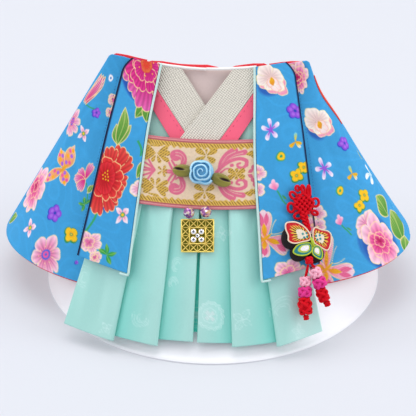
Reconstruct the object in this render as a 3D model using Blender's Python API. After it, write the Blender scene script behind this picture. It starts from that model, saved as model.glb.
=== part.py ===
"""A miniature hanfu on a smooth white display form.

The garment is a blue printed jacket with bell sleeves and red lining, a mint bodice with a
crossed ribbed collar, a woven waistband, a pleated mint skirt, and its sewn-on ornaments.
Lengths below are in millimetres, and to_metres turns them to metres when a mesh is made.
The front faces -Y, +X is the viewer's right, and the form stands on the plane z = 0.
"""
import math

import bmesh
import bpy
from mathutils import Matrix, Vector

# Sizes of the whole
to_metres = 0.001
wall = 1.0                  # one thickness of cloth
seam_gap = 0.3              # clearance between pieces that lie on each other
base_radius = 80.0          # round foot of the display form
form_top_z = 97.0
neck_half_width = 44.6
hem_half_width = 96.6
shoulder_z = 113.5
hem_z = 22.5                # sleeve and back hem
hem_tilt = 0.022            # the hem hangs a little lower on the viewer's left
right_flare = 2.2           # the right side seam curves in at its middle, out at its ends
front_foot_z = 9.0          # about the height of the skirt's hem

# The front: its depth in front of the form's axis grows down a straight slope
neck_front_z = 111.5        # where the slope starts
neck_edge_z = 111.8         # the front neck edge at the middle
neck_reach = 26.0           # bodice, lining and collar end this far out, under the jacket
neck_depth = 9.0
front_slope = 0.663
neck_bow = 0.0045           # how fast the depth falls off to the sides, per millimetre
hem_bow = 0.0035

# The sleeves and back: half ellipses that open downwards
sleeve_neck_depth = 3.6
sleeve_hem_depth = 58.0
back_neck_depth = 9.0
back_hem_depth = 68.0
back_neck_z = 98.5

# Stacking of the front pieces, as lifts of their outer face from the front surface
lift_neck_lining = -5.2
lift_inset = -3.9
lift_bodice = -2.6
lift_collar_under = -1.3
lift_collar_over = 0.0
lift_waistband = 1.3
lift_front_at_neck = 1.3
lift_front = 2.6
lining_lift = -1.5          # the lining's outer face under the jacket's
slope_wall = 1.15           # wall of the sleeves and back, measured level with the floor

# Heights on the front
waistband_top = 85.0
waistband_bottom = 58.5
waistband_half_width = 33.0 # its ends lie under the jacket fronts
collar_end_z = 82.0         # the collar's ends are caught behind the waistband
bodice_bottom = 66.5
skirt_top = 64.5


def material(name, colour, roughness, metallic=0.0):
    """A plain finish from a linear colour."""
    finish = bpy.data.materials.new(name)
    finish.use_nodes = True
    shader = finish.node_tree.nodes["Principled BSDF"]
    shader.inputs["Base Color"].default_value = (*colour, 1.0)
    shader.inputs["Roughness"].default_value = roughness
    shader.inputs["Metallic"].default_value = metallic
    finish.diffuse_color = (*colour, 1.0)
    return finish


def add_solid(name, points, faces, finish):
    """One closed solid from points in millimetres, its faces turned outwards."""
    shape = bmesh.new()
    corners = [shape.verts.new(Vector(point) * to_metres) for point in points]
    for face in faces:
        shape.faces.new([corners[index] for index in face])
    bmesh.ops.recalc_face_normals(shape, faces=shape.faces)
    mesh = bpy.data.meshes.new(name)
    shape.to_mesh(mesh)
    shape.free()
    mesh.shade_smooth()
    mesh.set_sharp_from_angle(angle=math.radians(40))
    mesh.materials.append(finish)
    solid = bpy.data.objects.new(name, mesh)
    bpy.context.scene.collection.objects.link(solid)
    return solid


def ring_faces(rings, count):
    """Side faces between rings of count points, rings closed round."""
    faces = []
    for ring in range(rings - 1):
        for index in range(count):
            after = (index + 1) % count
            low = ring * count
            high = low + count
            faces.append((low + index, low + after, high + after, high + index))
    return faces


def add_loft(name, rings, finish):
    """A solid through closed rings of equal counts, with flat ends."""
    count = len(rings[0])
    points = [point for ring in rings for point in ring]
    faces = ring_faces(len(rings), count)
    faces.append(tuple(range(count)))
    faces.append(tuple(range(len(points) - count, len(points))))
    return add_solid(name, points, faces, finish)


def add_wall(name, outer, inner, finish):
    """A wall of cloth between two grids of points with the same rows and columns."""
    rows, columns = len(outer), len(outer[0])
    points = [point for row in outer for point in row]
    back = len(points)
    points += [point for row in inner for point in row]
    faces = []
    for row in range(rows - 1):
        for column in range(columns - 1):
            corner = row * columns + column
            quad = (corner, corner + 1, corner + columns + 1, corner + columns)
            faces.append(quad)
            faces.append(tuple(index + back for index in reversed(quad)))
    rim = list(range(columns))
    rim += [row * columns + columns - 1 for row in range(1, rows)]
    rim += [(rows - 1) * columns + column for column in range(columns - 2, -1, -1)]
    rim += [row * columns for row in range(rows - 2, 0, -1)]
    for index, corner in enumerate(rim):
        after = rim[(index + 1) % len(rim)]
        faces.append((corner, after, after + back, corner + back))
    return add_solid(name, points, faces, finish)


def mix(start, end, share):
    """A number part of the way from start to end."""
    return start + (end - start) * share


def line(start, end, cells):
    """Points spaced evenly from start to end."""
    return [tuple(mix(a, b, step / cells) for a, b in zip(start, end)) for step in range(cells + 1)]


def add_cloth(name, edge_a, edge_b, cells, surface, inner, outer, finish):
    """A wall on a surface between two edges, lists of surface coordinates of equal length.

    inner and outer are the lifts of its two faces, each a number or a function of height.
    """
    def face(lift):
        grid = []
        for start, end in zip(edge_a, edge_b):
            row = []
            for across, height in line(start, end, cells):
                amount = lift(height) if callable(lift) else lift
                row.append(surface(across, height, amount))
            grid.append(row)
        return grid

    return add_wall(name, face(outer), face(inner), finish)


def fall(z):
    """How far a height is down the garment, 0 at the shoulders and 1 at the hem."""
    return (shoulder_z - z) / (shoulder_z - hem_z)


def neck_z(x):
    """Height of the front neck edge, which dips between the shoulders."""
    return neck_edge_z + (shoulder_z - neck_edge_z) * (x / neck_half_width) ** 2


def front_point(x, z, lift):
    """A point in front of the body: on the sloping front, then moved out by lift."""
    bow = mix(neck_bow, hem_bow, (neck_front_z - z) / (neck_front_z - front_foot_z))
    depth = neck_depth + front_slope * (neck_front_z - z) - bow * x * x
    outwards = Vector((2.0 * bow * x, -1.0, front_slope)).normalized()
    return Vector((x, -depth, z)) + lift * outwards


def front_frame(x, z, lift, turn=0.0):
    """Axes on the front: across, up the slope and outwards, turned by degrees in its plane."""
    origin = front_point(x, z, lift)
    across = (front_point(x + 0.1, z, lift) - front_point(x - 0.1, z, lift)).normalized()
    outwards = (front_point(x, z, lift + 1.0) - origin).normalized()
    upwards = outwards.cross(across).normalized()
    across = upwards.cross(outwards)
    axes = Matrix((across, upwards, outwards)).transposed().to_4x4()
    return Matrix.Translation(origin) @ axes @ Matrix.Rotation(math.radians(turn), 4, "Z")


def cape_point(angle, z, lift):
    """A point of the flared jacket: 0 degrees in front, 90 at the viewer's right side."""
    down = fall(z)
    half_width = mix(neck_half_width, hem_half_width, down) + lift
    flare = right_flare * ((2.0 * down - 1.0) ** 2 - 0.45)
    half_width += flare * max(0.0, math.sin(angle))
    if math.cos(angle) > 0.0:
        depth = mix(sleeve_neck_depth, sleeve_hem_depth, down)
    else:
        depth = mix(back_neck_depth, back_hem_depth, down)
    return Vector((half_width * math.sin(angle), -(depth + lift) * math.cos(angle), z))


def seam_angle(z, depth_at_neck, depth_at_hem):
    """Angle from the side plane that leaves a little over half of the side seam's clearance."""
    share_of_gap = 0.6
    depth = mix(depth_at_neck, depth_at_hem, fall(z))
    return math.asin(share_of_gap * seam_gap / depth)


def jacket_hem(x):
    """Height of the sleeve and back hem."""
    return hem_z + hem_tilt * x


def make_form():
    """The stand: a round foot that narrows to a flat oval neck, smooth and whole."""
    finish = material("white_form", (0.80, 0.80, 0.80), 0.45)
    # Columns: height, half width, half depth
    sections = (
        (0.0, base_radius - 0.6, base_radius - 0.6),
        (0.7, base_radius, base_radius),
        (2.5, 79.4, 77.6),
        (5.5, 78.2, 74.2),
        (9.0, 76.8, 70.4),
        (20.0, 72.0, 63.2),
        (40.0, 65.4, 50.0),
        (60.0, 58.2, 36.7),
        (80.0, 48.0, 23.5),
        (91.0, 41.5, 16.0),
        (form_top_z, 37.0, 11.6),
        (form_top_z + 1.6, 34.5, 9.2),
        (form_top_z + 2.2, 30.0, 6.0),
    )
    foot_shift = 2.5        # the garment sits a little to the left of the foot's middle
    sides = 56
    rings = []
    for z, half_width, half_depth in sections:
        middle = foot_shift * max(0.0, 1.0 - z / form_top_z)
        ring = []
        for side in range(sides):
            turn = math.tau * side / sides
            ring.append((middle + half_width * math.cos(turn), half_depth * math.sin(turn), z))
        rings.append(ring)
    add_loft("display_form", rings, finish)


def make_bodice(mint, red):
    """Neck lining, skin-coloured inset and the two mint fronts under the collar."""
    # How far the lining stands over the neck edge, evenly spaced from left to right. It dips
    # to the right of the middle.
    lining_peeks = (1.4, 1.4, 1.3, 1.25, 1.4, 1.6, 1.8, 1.3, 0.2, 1.4, 1.6, 1.7, 1.9)
    lining_height = 8.0
    xs = [mix(-neck_reach, neck_reach, step / 12) for step in range(13)]
    lining_top = [(x, neck_z(x) + peek) for x, peek in zip(xs, lining_peeks)]
    lining_bottom = [(x, neck_z(x) - lining_height) for x in xs]
    add_cloth("neck_lining", lining_top, lining_bottom, 2, front_point,
              lift_neck_lining - wall, lift_neck_lining, red)

    skin = material("inset_satin", (0.62, 0.46, 0.42), 0.5)
    inset_top_half, inset_bottom_half, inset_bottom = 16.0, 7.0, 92.0
    shares = (-1.0, -0.5, 0.0, 0.5, 1.0)
    top = [(share * inset_top_half, neck_z(share * inset_top_half)) for share in shares]
    bottom = [(share * inset_bottom_half, inset_bottom) for share in shares]
    add_cloth("inset", top, bottom, 4, front_point, lift_inset - wall, lift_inset, skin)

    bodice_inner, bodice_waist = 17.0, 31.0
    for side, name in ((-1.0, "bodice_left"), (1.0, "bodice_right")):
        inner = line((side * bodice_inner, neck_z(bodice_inner)), (side * 0.2, bodice_bottom), 6)
        outer = line((side * neck_reach, neck_z(neck_reach)), (side * bodice_waist, bodice_bottom), 6)
        add_cloth(name, inner, outer, 5, front_point, lift_bodice - wall, lift_bodice, mint)


def make_collar():
    """Two crossed ribbed bands, the viewer's right one on top, each with a pink edge."""
    ribbed = material("ribbed_tape", (0.71, 0.67, 0.63), 0.85)
    pink = material("pink_trim", (0.86, 0.12, 0.25), 0.45)
    # Columns: name, side of the top end, outer lift, band's inner edge at the neck and at its
    # end, the end's outer edge, and the trim's outer edge at its end
    bands = (
        ("under", -1.0, lift_collar_under, 11.9, -14.0, 3.3, 12.6),
        ("over", 1.0, lift_collar_over, 12.2, -13.2, 4.6, 13.0),
    )
    band_side_z = 107.0     # where the band's outer edge runs out under the jacket front
    trim_side_z = 97.5      # and where its trim's does
    end_clear, side_clear = 1.2 * seam_gap, 1.6 * seam_gap
    for name, side, outer, neck_inner, end_inner, end_outer, end_trim in bands:
        inner_edge = line((side * neck_inner, neck_z(neck_inner)), (side * end_inner, collar_end_z), 8)
        corner = (side * neck_reach, neck_z(neck_reach))
        below = (side * neck_reach, band_side_z)
        outer_edge = [corner] + line(below, (side * end_outer, collar_end_z), 7)
        add_cloth("collar_" + name, inner_edge, outer_edge, 3, front_point,
                  outer - wall, outer, ribbed)

        trim_start = (side * neck_reach, band_side_z - side_clear)
        trim_inner = line(trim_start, (side * (end_outer + end_clear), collar_end_z), 7)
        trim_outer = line((side * neck_reach, trim_side_z), (side * end_trim, collar_end_z), 7)
        add_cloth("collar_trim_" + name, trim_inner, trim_outer, 2, front_point,
                  outer - wall, outer, pink)


# The skirt's folds from each free side to the middle. Columns: distance from the middle at
# the waist and at the hem, hem height at the fold, hem height where the next panel starts
pleats = {
    "left": (
        (43.0, 61.0, 8.4, 8.4),
        (26.8, 38.2, 6.6, 8.9),
        (12.9, 17.8, 7.3, 9.8),
        (1.5, 1.9, 9.9, 13.5),
    ),
    "right": (
        (41.5, 56.8, 10.6, 10.6),
        (25.8, 37.9, 7.2, 9.2),
        (13.2, 17.9, 8.1, 9.5),
        (1.6, 2.2, 9.7, 13.5),
    ),
}


def pleat_profile(name, share):
    """Half of the skirt's folded section, from its free side to the middle.

    The points are places across, levels under the waistband and heights. Every panel rises
    from under its outer neighbour to a fold that stands over the next one, so the pleats open
    to the middle, where two folds face each other over the last underlay.
    """
    side = -1.0 if name == "left" else 1.0
    fold_radius = 0.65
    bends = (0.25 * math.pi, 0.5 * math.pi, 0.75 * math.pi)
    underlap_waist, underlap_hem = 3.2, 4.6
    underlap = mix(underlap_waist, underlap_hem, share)
    top_level, level = -0.5, -1.6
    folds = [(mix(waist, hem, share), mix(skirt_top, fold_hem, share), mix(skirt_top, next_hem, share))
             for waist, hem, fold_hem, next_hem in pleats[name]]
    start, start_z = folds[0][0], folds[0][1]
    points = []
    for place, fold_z, next_z in folds[1:]:
        points += line((start, level, start_z), (place, top_level, fold_z), 4)
        rise = (top_level - level) / (start - place)
        back_place, back_level = place + underlap, top_level - rise * underlap
        for bend in bends:
            points.append((place - fold_radius * math.sin(bend),
                           top_level - fold_radius * (1.0 - math.cos(bend)), fold_z))
        points.append((place, top_level - 2.0 * fold_radius, fold_z))
        points.append((back_place, back_level - 2.0 * fold_radius, next_z))
        for bend in bends:
            points.append((back_place + fold_radius * math.sin(bend),
                           back_level - fold_radius * (3.0 - math.cos(bend)), next_z))
        start, start_z, level = back_place, next_z, back_level - 4.0 * fold_radius
    points.append((start, level, start_z))
    return [(side * place, level, z) for place, level, z in points]


def make_skirt(mint):
    """A pleated front skirt, one long strip folded into pleats and hung from the waist."""
    rows = 7
    sharpest = 0.7          # keeps the wall from growing too thick in a tight fold
    outer, inner = [], []
    for row in range(rows):
        share = row / (rows - 1)
        section = pleat_profile("left", share) + pleat_profile("right", share)[::-1]
        outer_row, inner_row = [], []
        for index, (place, level, z) in enumerate(section):
            before = section[max(index - 1, 0)]
            after = section[min(index + 1, len(section) - 1)]
            arriving = Vector((place - before[0], level - before[1]))
            leaving = Vector((after[0] - place, after[1] - level))
            if index == 0:
                arriving = leaving
            if index == len(section) - 1:
                leaving = arriving
            heading = (arriving.normalized() + leaving.normalized()).normalized()
            stretch = 1.0 / max(sharpest, heading.dot(leaving.normalized()))
            shift = Vector((-heading.y, heading.x)) * (0.5 * wall * stretch)
            outer_row.append(front_point(place + shift.x, z, level + shift.y))
            inner_row.append(front_point(place - shift.x, z, level - shift.y))
        outer.append(outer_row)
        inner.append(inner_row)
    add_wall("skirt", outer, inner, mint)


def make_waistband():
    """A woven ribbon across the front, its ends under the jacket fronts."""
    woven = material("woven_ribbon", (0.78, 0.55, 0.40), 0.6)
    half = waistband_half_width
    top = line((-half, waistband_top), (half, waistband_top), 14)
    bottom = line((-half, waistband_bottom), (half, waistband_bottom), 14)
    add_cloth("waistband", top, bottom, 4, front_point, lift_waistband - wall, lift_waistband, woven)


def front_lift(z):
    """Outer face of the jacket fronts, which step out over the waistband."""
    full_z = waistband_top + 3.0
    share = min(1.0, max(0.0, (neck_front_z - z) / (neck_front_z - full_z)))
    return mix(lift_front_at_neck, lift_front, share)


# Columns: side, inner edge at the neck and hem, outer edge at the neck and hem, hem heights
# at the inner and outer edge
jacket_fronts = {
    "left": (-1.0, 21.4, 31.2, 37.0, 54.6, 32.6, 35.2),
    "right": (1.0, 22.0, 29.2, 38.6, 53.4, 32.6, 36.0),
}


def front_edges(name, cells):
    """Inner and outer edges of a jacket front, from the neck to the hem."""
    side, inner_neck, inner_hem, outer_neck, outer_hem, hem_inner_z, hem_outer_z = jacket_fronts[name]
    corner_height, corner_width = 6.0, 3.2
    inner, outer = [], []
    for step in range(cells + 1):
        share = step / cells
        x = mix(inner_neck, inner_hem, share)
        inner.append((side * x, mix(neck_z(inner_neck), hem_inner_z, share)))
        x = mix(outer_neck, outer_hem, share)
        z = mix(neck_z(outer_neck), hem_outer_z, share)
        rounding = max(0.0, 1.0 - (neck_z(outer_neck) - z) / corner_height)
        outer.append((side * (x - corner_width * rounding ** 2), z))
    return inner, outer


def add_tube(name, path, radius, sides, finish):
    """A cord along points in millimetres, with flat ends."""
    rings = []
    normal = None
    for index, point in enumerate(path):
        before = path[max(index - 1, 0)]
        after = path[min(index + 1, len(path) - 1)]
        heading = (after - before).normalized()
        if normal is None:
            normal = heading.orthogonal()
        normal = (normal - heading * normal.dot(heading)).normalized()
        binormal = heading.cross(normal)
        ring = []
        for side in range(sides):
            turn = math.tau * side / sides
            ring.append(point + radius * (math.cos(turn) * normal + math.sin(turn) * binormal))
        rings.append(ring)
    add_loft(name, rings, finish)


def make_jacket(blue, red, mint):
    """Two fronts with mint piping, two bell sleeves and a back, lined in red."""
    for name in jacket_fronts:
        inner, outer = front_edges(name, 14)
        add_cloth("front_" + name, inner, outer, 5, front_point,
                  lambda z: front_lift(z) - wall, front_lift, blue)
        side = jacket_fronts[name][0]
        piping_radius = 0.5
        clear = piping_radius + seam_gap
        path = [front_point(x - side * clear, z, front_lift(z) - 0.5 * wall) for x, z in inner]
        # The piping turns the bottom corner and runs a little way along the hem.
        # Columns: distance past the corner, rise of the hem there
        corner_x, corner_z = inner[-1]
        corner_lift = front_lift(corner_z) - 0.5 * wall
        for along, rise in ((0.4, 0.0), (3.0, 0.25)):
            path.append(front_point(corner_x + side * along, corner_z - clear + rise, corner_lift))
        add_tube("front_piping_" + name, path, piping_radius, 6, mint)

    # Where the sleeve's inner edge lies under the jacket front
    sleeve_in_neck = math.radians(39.0)
    sleeve_in_hem = math.radians(33.0)

    def sleeve_point(side):
        def point(share, z, lift):
            inner = mix(sleeve_in_neck, sleeve_in_hem, fall(z))
            seam = math.pi / 2.0 - seam_angle(z, sleeve_neck_depth, sleeve_hem_depth)
            return cape_point(side * mix(inner, seam, share), z, lift)
        return point

    def back_point(share, z, lift):
        seam = math.pi / 2.0 + seam_angle(z, back_neck_depth, back_hem_depth)
        return cape_point(mix(seam, math.tau - seam, share), z, lift)

    def sleeve_top(share):
        """The neck edge: lower under the jacket front, rounded where it meets the side seam."""
        x = neck_half_width * math.sin(mix(sleeve_in_neck, 0.5 * math.pi, share))
        corner_from, tuck_to = 0.8, 0.4
        corner = max(0.0, (share - corner_from) / (1.0 - corner_from))
        tucked = max(0.0, (tuck_to - share) / tuck_to)
        return neck_z(x) - shoulder_drop * (corner ** 2 + tucked)

    def back_top(share):
        """The scooped back neckline, up to the shoulder corners."""
        across = abs(math.cos(math.pi * share))
        return mix(back_neck_z, shoulder_z - shoulder_drop, across ** 3)

    shoulder_drop = 1.2     # rounding of the neck edge at its ends
    peek = 0.7              # the lining shows past the jacket's edges
    sleeve_middle = 0.8 * hem_half_width
    for side, name in ((-1.0, "left"), (1.0, "right")):
        shares = [step / 14 for step in range(15)]
        top = [(share, sleeve_top(share)) for share in shares]
        bottom = [(share, jacket_hem(side * sleeve_middle)) for share in shares]
        add_cloth("sleeve_" + name, top, bottom, 12, sleeve_point(side), -slope_wall, 0.0, blue)
        top = [(share, height + peek) for share, height in top[::2]]
        bottom = [(share, height - peek) for share, height in bottom[::2]]
        add_cloth("sleeve_lining_" + name, top, bottom, 8, sleeve_point(side),
                  lining_lift - slope_wall, lining_lift, red)

    shares = [step / 26 for step in range(27)]
    top = [(share, back_top(share)) for share in shares]
    bottom = [(share, jacket_hem(hem_half_width * math.cos(math.pi * share))) for share in shares]
    add_cloth("back", top, bottom, 10, back_point, -slope_wall, 0.0, blue)
    top = [(share, height - peek) for share, height in top[::2]]
    bottom = [(share, height - peek) for share, height in bottom[::2]]
    add_cloth("back_lining", top, bottom, 7, back_point, lining_lift - slope_wall, lining_lift, red)


def add_mound(name, outline, steps, frame, finish):
    """A rounded pad on an outline, with a flat underside.

    steps holds one ring of the pad in each row: scale, shift across, shift up and height.
    """
    rings = []
    for scale, across, up, height in steps:
        rings.append([frame @ Vector((x * scale + across, y * scale + up, height))
                      for x, y in outline])
    return add_loft(name, rings, finish)


def make_rose(ribbon, leaf_ribbon):
    """A wound ribbon rose with two looped leaves, sewn to the middle of the waistband."""
    seat = lift_waistband + seam_gap
    rose_z = 72.8
    frame = front_frame(0.0, rose_z, seat)
    radius, foot_radius, height, turns = 5.9, 5.4, 4.6, 3.0
    ridge_height = 0.45     # of the ribbon's edge over the valley beside it
    sides, steps = 30, 10
    rings = [[frame @ Vector((foot_radius * math.cos(math.tau * side / sides),
                              foot_radius * math.sin(math.tau * side / sides), 0.0))
              for side in range(sides)]]
    for step in range(steps):
        share = 1.0 - step / steps
        ring = []
        for side in range(sides):
            turn = math.tau * side / sides
            ridge = math.cos(math.tau * turns * share - turn)
            rise = height * (0.88 - 0.45 * share ** 3) + ridge_height * ridge
            reach = radius * share * (1.0 + 0.02 * ridge)
            ring.append(frame @ Vector((reach * math.cos(turn), reach * math.sin(turn), rise)))
        rings.append(ring)
    add_loft("ribbon_rose", rings, ribbon)

    leaf_half_length, leaf_half_width, leaf_taper = 3.5, 2.9, 0.18
    leaf_steps = ((0.9, 0.0, 0.0, 0.0), (1.0, 0.0, 0.0, 0.9), (0.8, 0.0, 0.0, 2.0), (0.35, 0.0, 0.0, 1.5))
    # Columns: name, distance of the leaf's middle from the rose's, its direction in degrees
    for name, distance, direction in (("left", 9.6, 182.0), ("right", 10.2, -21.0)):
        turned = front_frame(0.0, rose_z, seat, direction) @ Matrix.Translation((distance, 0.0, 0.0))
        outline = []
        for step in range(18):
            turn = math.tau * step / 18
            along = leaf_half_length * math.cos(turn)
            across = leaf_half_width * math.sin(turn) * (1.0 - leaf_taper * math.cos(turn))
            outline.append((along, across))
        add_mound("rose_leaf_" + name, outline, leaf_steps, turned, leaf_ribbon)


def make_beads():
    """Two faceted beads between the waistband's edge and the pendant."""
    crystal = material("violet_crystal", (0.45, 0.20, 0.50), 0.1)
    bead_radius, bead_z = 2.55, 57.7
    for name, x in (("bead_left", -4.6), ("bead_right", 3.5)):
        centre = front_frame(x, bead_z, lift_waistband + seam_gap + bead_radius)
        rings = []
        for step in range(1, 8):
            tilt = math.pi * step / 8
            level, around = bead_radius * math.cos(tilt), bead_radius * math.sin(tilt)
            rings.append([centre @ Vector((around * math.cos(math.tau * side / 12), level,
                                           around * math.sin(math.tau * side / 12)))
                          for side in range(12)])
        add_loft(name, rings, crystal)


def make_pendant():
    """A square gold filigree plate: a frame and a middle square joined by a lattice."""
    gold = material("gold_filigree", (0.80, 0.56, 0.16), 0.3, 1.0)
    pendant_x, pendant_z = -0.4, 49.4
    half, thick, edge, middle = 8.1, 1.2, 1.2, 4.4
    frame = front_frame(pendant_x, pendant_z, seam_gap)
    corners = ((-half, -half), (half, -half), (half, half), (-half, half))
    plate = add_loft("pendant", [[frame @ Vector((x, y, z)) for x, y in corners]
                                 for z in (0.0, thick)], gold)
    holes = bmesh.new()
    inner, outer = middle + 0.45, half - edge
    pitch, reach, bar = 2.75, 1.2, 0.6
    # One side of the square: three triangles base to tip, then two beside the corner's bar
    triangles = [((-pitch - reach, inner), (-pitch + reach, inner), (-pitch, outer)),
                 ((-reach, outer), (reach, outer), (0.0, inner)),
                 ((pitch - reach, inner), (pitch + reach, inner), (pitch, outer)),
                 ((inner, inner + bar), (inner, outer), (outer - bar, outer)),
                 ((inner + bar, inner), (outer, inner), (outer, outer - bar))]
    for quarter in range(4):
        turned = frame @ Matrix.Rotation(quarter * math.pi / 2.0, 4, "Z")
        for triangle in triangles:
            low = [holes.verts.new((turned @ Vector((x, y, -1.0))) * to_metres) for x, y in triangle]
            high = [holes.verts.new((turned @ Vector((x, y, thick + 1.0))) * to_metres)
                    for x, y in triangle]
            holes.faces.new(low)
            holes.faces.new(high)
            for side in range(3):
                after = (side + 1) % 3
                holes.faces.new((low[side], low[after], high[after], high[side]))
    bmesh.ops.recalc_face_normals(holes, faces=holes.faces)
    mesh = bpy.data.meshes.new("pendant_holes")
    holes.to_mesh(mesh)
    holes.free()
    cutter = bpy.data.objects.new("pendant_holes", mesh)
    bpy.context.scene.collection.objects.link(cutter)
    cutter.hide_render = True
    cutter.display_type = "WIRE"
    cut = plate.modifiers.new("lattice", "BOOLEAN")
    cut.operation = "DIFFERENCE"
    cut.object = cutter


def make_charm():
    """A red cord knot, a padded butterfly and two knotted tails on the right front."""
    red = material("red_cord", (0.56, 0.004, 0.02), 0.7)
    pink = material("pink_cord", (0.86, 0.38, 0.48), 0.8)
    magenta = material("magenta_cord", (0.70, 0.05, 0.28), 0.8)
    embroidered = material("embroidered_pad", (0.30, 0.05, 0.05), 0.7)
    seat = lift_front + seam_gap

    def bumped_outline(core, bumps, points, roundness):
        """An outline round a core, with a rounded bump for each lobe or wing."""
        outline = []
        for step in range(points):
            turn = 360.0 * step / points
            reach = core
            for direction, out, half in bumps:
                off = abs((turn - direction + 180.0) % 360.0 - 180.0) / half
                if off < 1.0:
                    reach = max(reach, mix(core, out, (1.0 - off ** 2) ** roundness))
            around = math.radians(turn)
            outline.append((reach * math.cos(around), reach * math.sin(around)))
        return outline

    # The knot: a woven core with a lobe above it and a stem below it
    # Columns: direction from the core's middle in degrees, reach, half width of the bump
    lobes = ((92.0, 8.0, 24.0), (283.0, 11.0, 15.0))
    knot_steps = ((0.94, 0.0, 0.0, 0.0), (1.0, 0.0, 0.0, 0.8), (0.93, 0.0, 0.0, 1.9), (0.6, 0.0, 0.0, 2.7))
    frame = front_frame(44.8, 59.0, seat)
    knot = add_mound("charm_knot", bumped_outline(4.0, lobes, 64, 0.5), knot_steps, frame, red)

    # Round loops of cord on the core's rim, joined to it
    cord_radius = 0.8
    # Columns: direction and distance of the loop's middle from the core's, its height, half
    # length outwards and half width of the loop's centre line
    loops = ((134.0, 5.6, 1.05, 1.9, 1.2), (181.0, 5.2, 0.95, 1.8, 1.3), (232.0, 4.6, 1.1, 1.9, 1.3),
             (356.0, 4.6, 1.0, 1.8, 1.3), (311.0, 5.2, 1.15, 1.6, 1.0), (66.0, 5.6, 0.9, 2.2, 0.9))
    sides, loop_steps = 8, 16
    for direction, distance, height, half_length, half_width in loops:
        turned = frame @ Matrix.Rotation(math.radians(direction), 4, "Z")
        turned = turned @ Matrix.Translation((distance, 0.0, height))
        points, faces = [], []
        for step in range(loop_steps):
            turn = math.tau * step / loop_steps
            for side in range(sides):
                around = math.tau * side / sides
                outwards = cord_radius * math.cos(around)
                points.append(turned @ Vector(((half_length + outwards) * math.cos(turn),
                                               (half_width + outwards) * math.sin(turn),
                                               cord_radius * math.sin(around))))
                after_step = (step + 1) % loop_steps * sides
                after_side = (side + 1) % sides
                faces.append((step * sides + side, after_step + side,
                              after_step + after_side, step * sides + after_side))
        loop = add_solid("knot_loop", points, faces, red)
        loop.hide_render = True
        loop.display_type = "WIRE"
        join = knot.modifiers.new("loop", "BOOLEAN")
        join.operation = "UNION"
        join.object = loop

    # The butterfly: a padded piece whose face leans up and to the right of its back
    # Columns: direction of the wing's tip in degrees, its reach, half width of the wing
    wings = ((150.0, 13.3, 36.0), (14.0, 9.9, 46.0), (219.0, 9.4, 32.0), (296.0, 9.4, 26.0))
    butterfly_steps = ((0.9, -1.4, -1.6, 0.0), (0.98, -1.2, -1.4, 0.9), (1.0, -0.2, -0.2, 3.2),
                       (0.93, 0.0, 0.0, 3.9), (0.4, 0.0, 0.0, 4.2))
    add_mound("charm_butterfly", bumped_outline(3.2, wings, 60, 0.4), butterfly_steps,
              front_frame(48.0, 44.9, seat), embroidered)

    def add_round_knot(name, x, z, lift, turn, radius, length, finish):
        """A full round knot whose axis runs down the front, turned by degrees."""
        centre = front_frame(x, z, lift, turn)
        fullness = 0.7
        rings = []
        for step in range(1, 8):
            tilt = math.pi * step / 8
            around = radius * math.sin(tilt) ** fullness
            rings.append([centre @ Vector((around * math.cos(math.tau * side / 12),
                                           0.5 * length * math.cos(tilt) / math.cos(math.pi / 8),
                                           around * math.sin(math.tau * side / 12)))
                          for side in range(12)])
        add_loft(name, rings, finish)

    # Columns: name, place across, height, lift, turn, radius, length, finish
    knots = (
        ("charm_end_knot", 47.5, 37.9, 6.4, 0.0, 2.1, 3.1, red),
        ("tail_left_pink", 46.97, 30.2, 4.0, 0.0, 3.1, 4.4, pink),
        ("tail_left_magenta", 47.0, 26.3, 4.0, 0.0, 3.4, 4.4, magenta),
        ("tail_left_red", 47.3, 20.4, 4.0, 0.0, 3.3, 9.2, red),
        ("tail_right_pink", 50.6, 32.9, 6.2, 20.0, 3.2, 4.4, pink),
        ("tail_right_magenta", 52.5, 29.0, 6.2, 20.0, 3.4, 4.4, magenta),
        ("tail_right_red", 54.4, 23.6, 5.6, 14.0, 3.0, 8.0, red),
    )
    for row in knots:
        add_round_knot(*row)
    # Columns: name, start and end of the cord across, in height and in lift
    cords = (("tail_left_cord", 47.4, 36.0, 5.6, 47.0, 32.7, 4.2),
             ("tail_right_cord", 48.9, 36.2, 5.8, 49.8, 35.2, 6.2))
    cord_radius = 0.7
    for name, x0, z0, lift0, x1, z1, lift1 in cords:
        path = [front_point(mix(x0, x1, step / 4), mix(z0, z1, step / 4), mix(lift0, lift1, step / 4))
                for step in range(5)]
        add_tube(name, path, cord_radius, 6, red)


for old in list(bpy.data.objects):
    bpy.data.objects.remove(old, do_unlink=True)

blue_print = material("blue_print_cotton", (0.05, 0.33, 0.67), 0.7)
mint_satin = material("mint_satin", (0.39, 0.72, 0.64), 0.4)
red_lining = material("red_lining", (0.70, 0.01, 0.03), 0.6)
blue_ribbon = material("blue_ribbon", (0.16, 0.49, 0.75), 0.4)
olive_ribbon = material("olive_ribbon", (0.26, 0.29, 0.05), 0.5)

make_form()
make_bodice(mint_satin, red_lining)
make_collar()
make_skirt(mint_satin)
make_waistband()
make_jacket(blue_print, red_lining, mint_satin)
make_rose(blue_ribbon, olive_ribbon)
make_beads()
make_pendant()
make_charm()
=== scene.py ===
from math import asin, cos, hypot, pi, radians, sin, sqrt, tau

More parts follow.
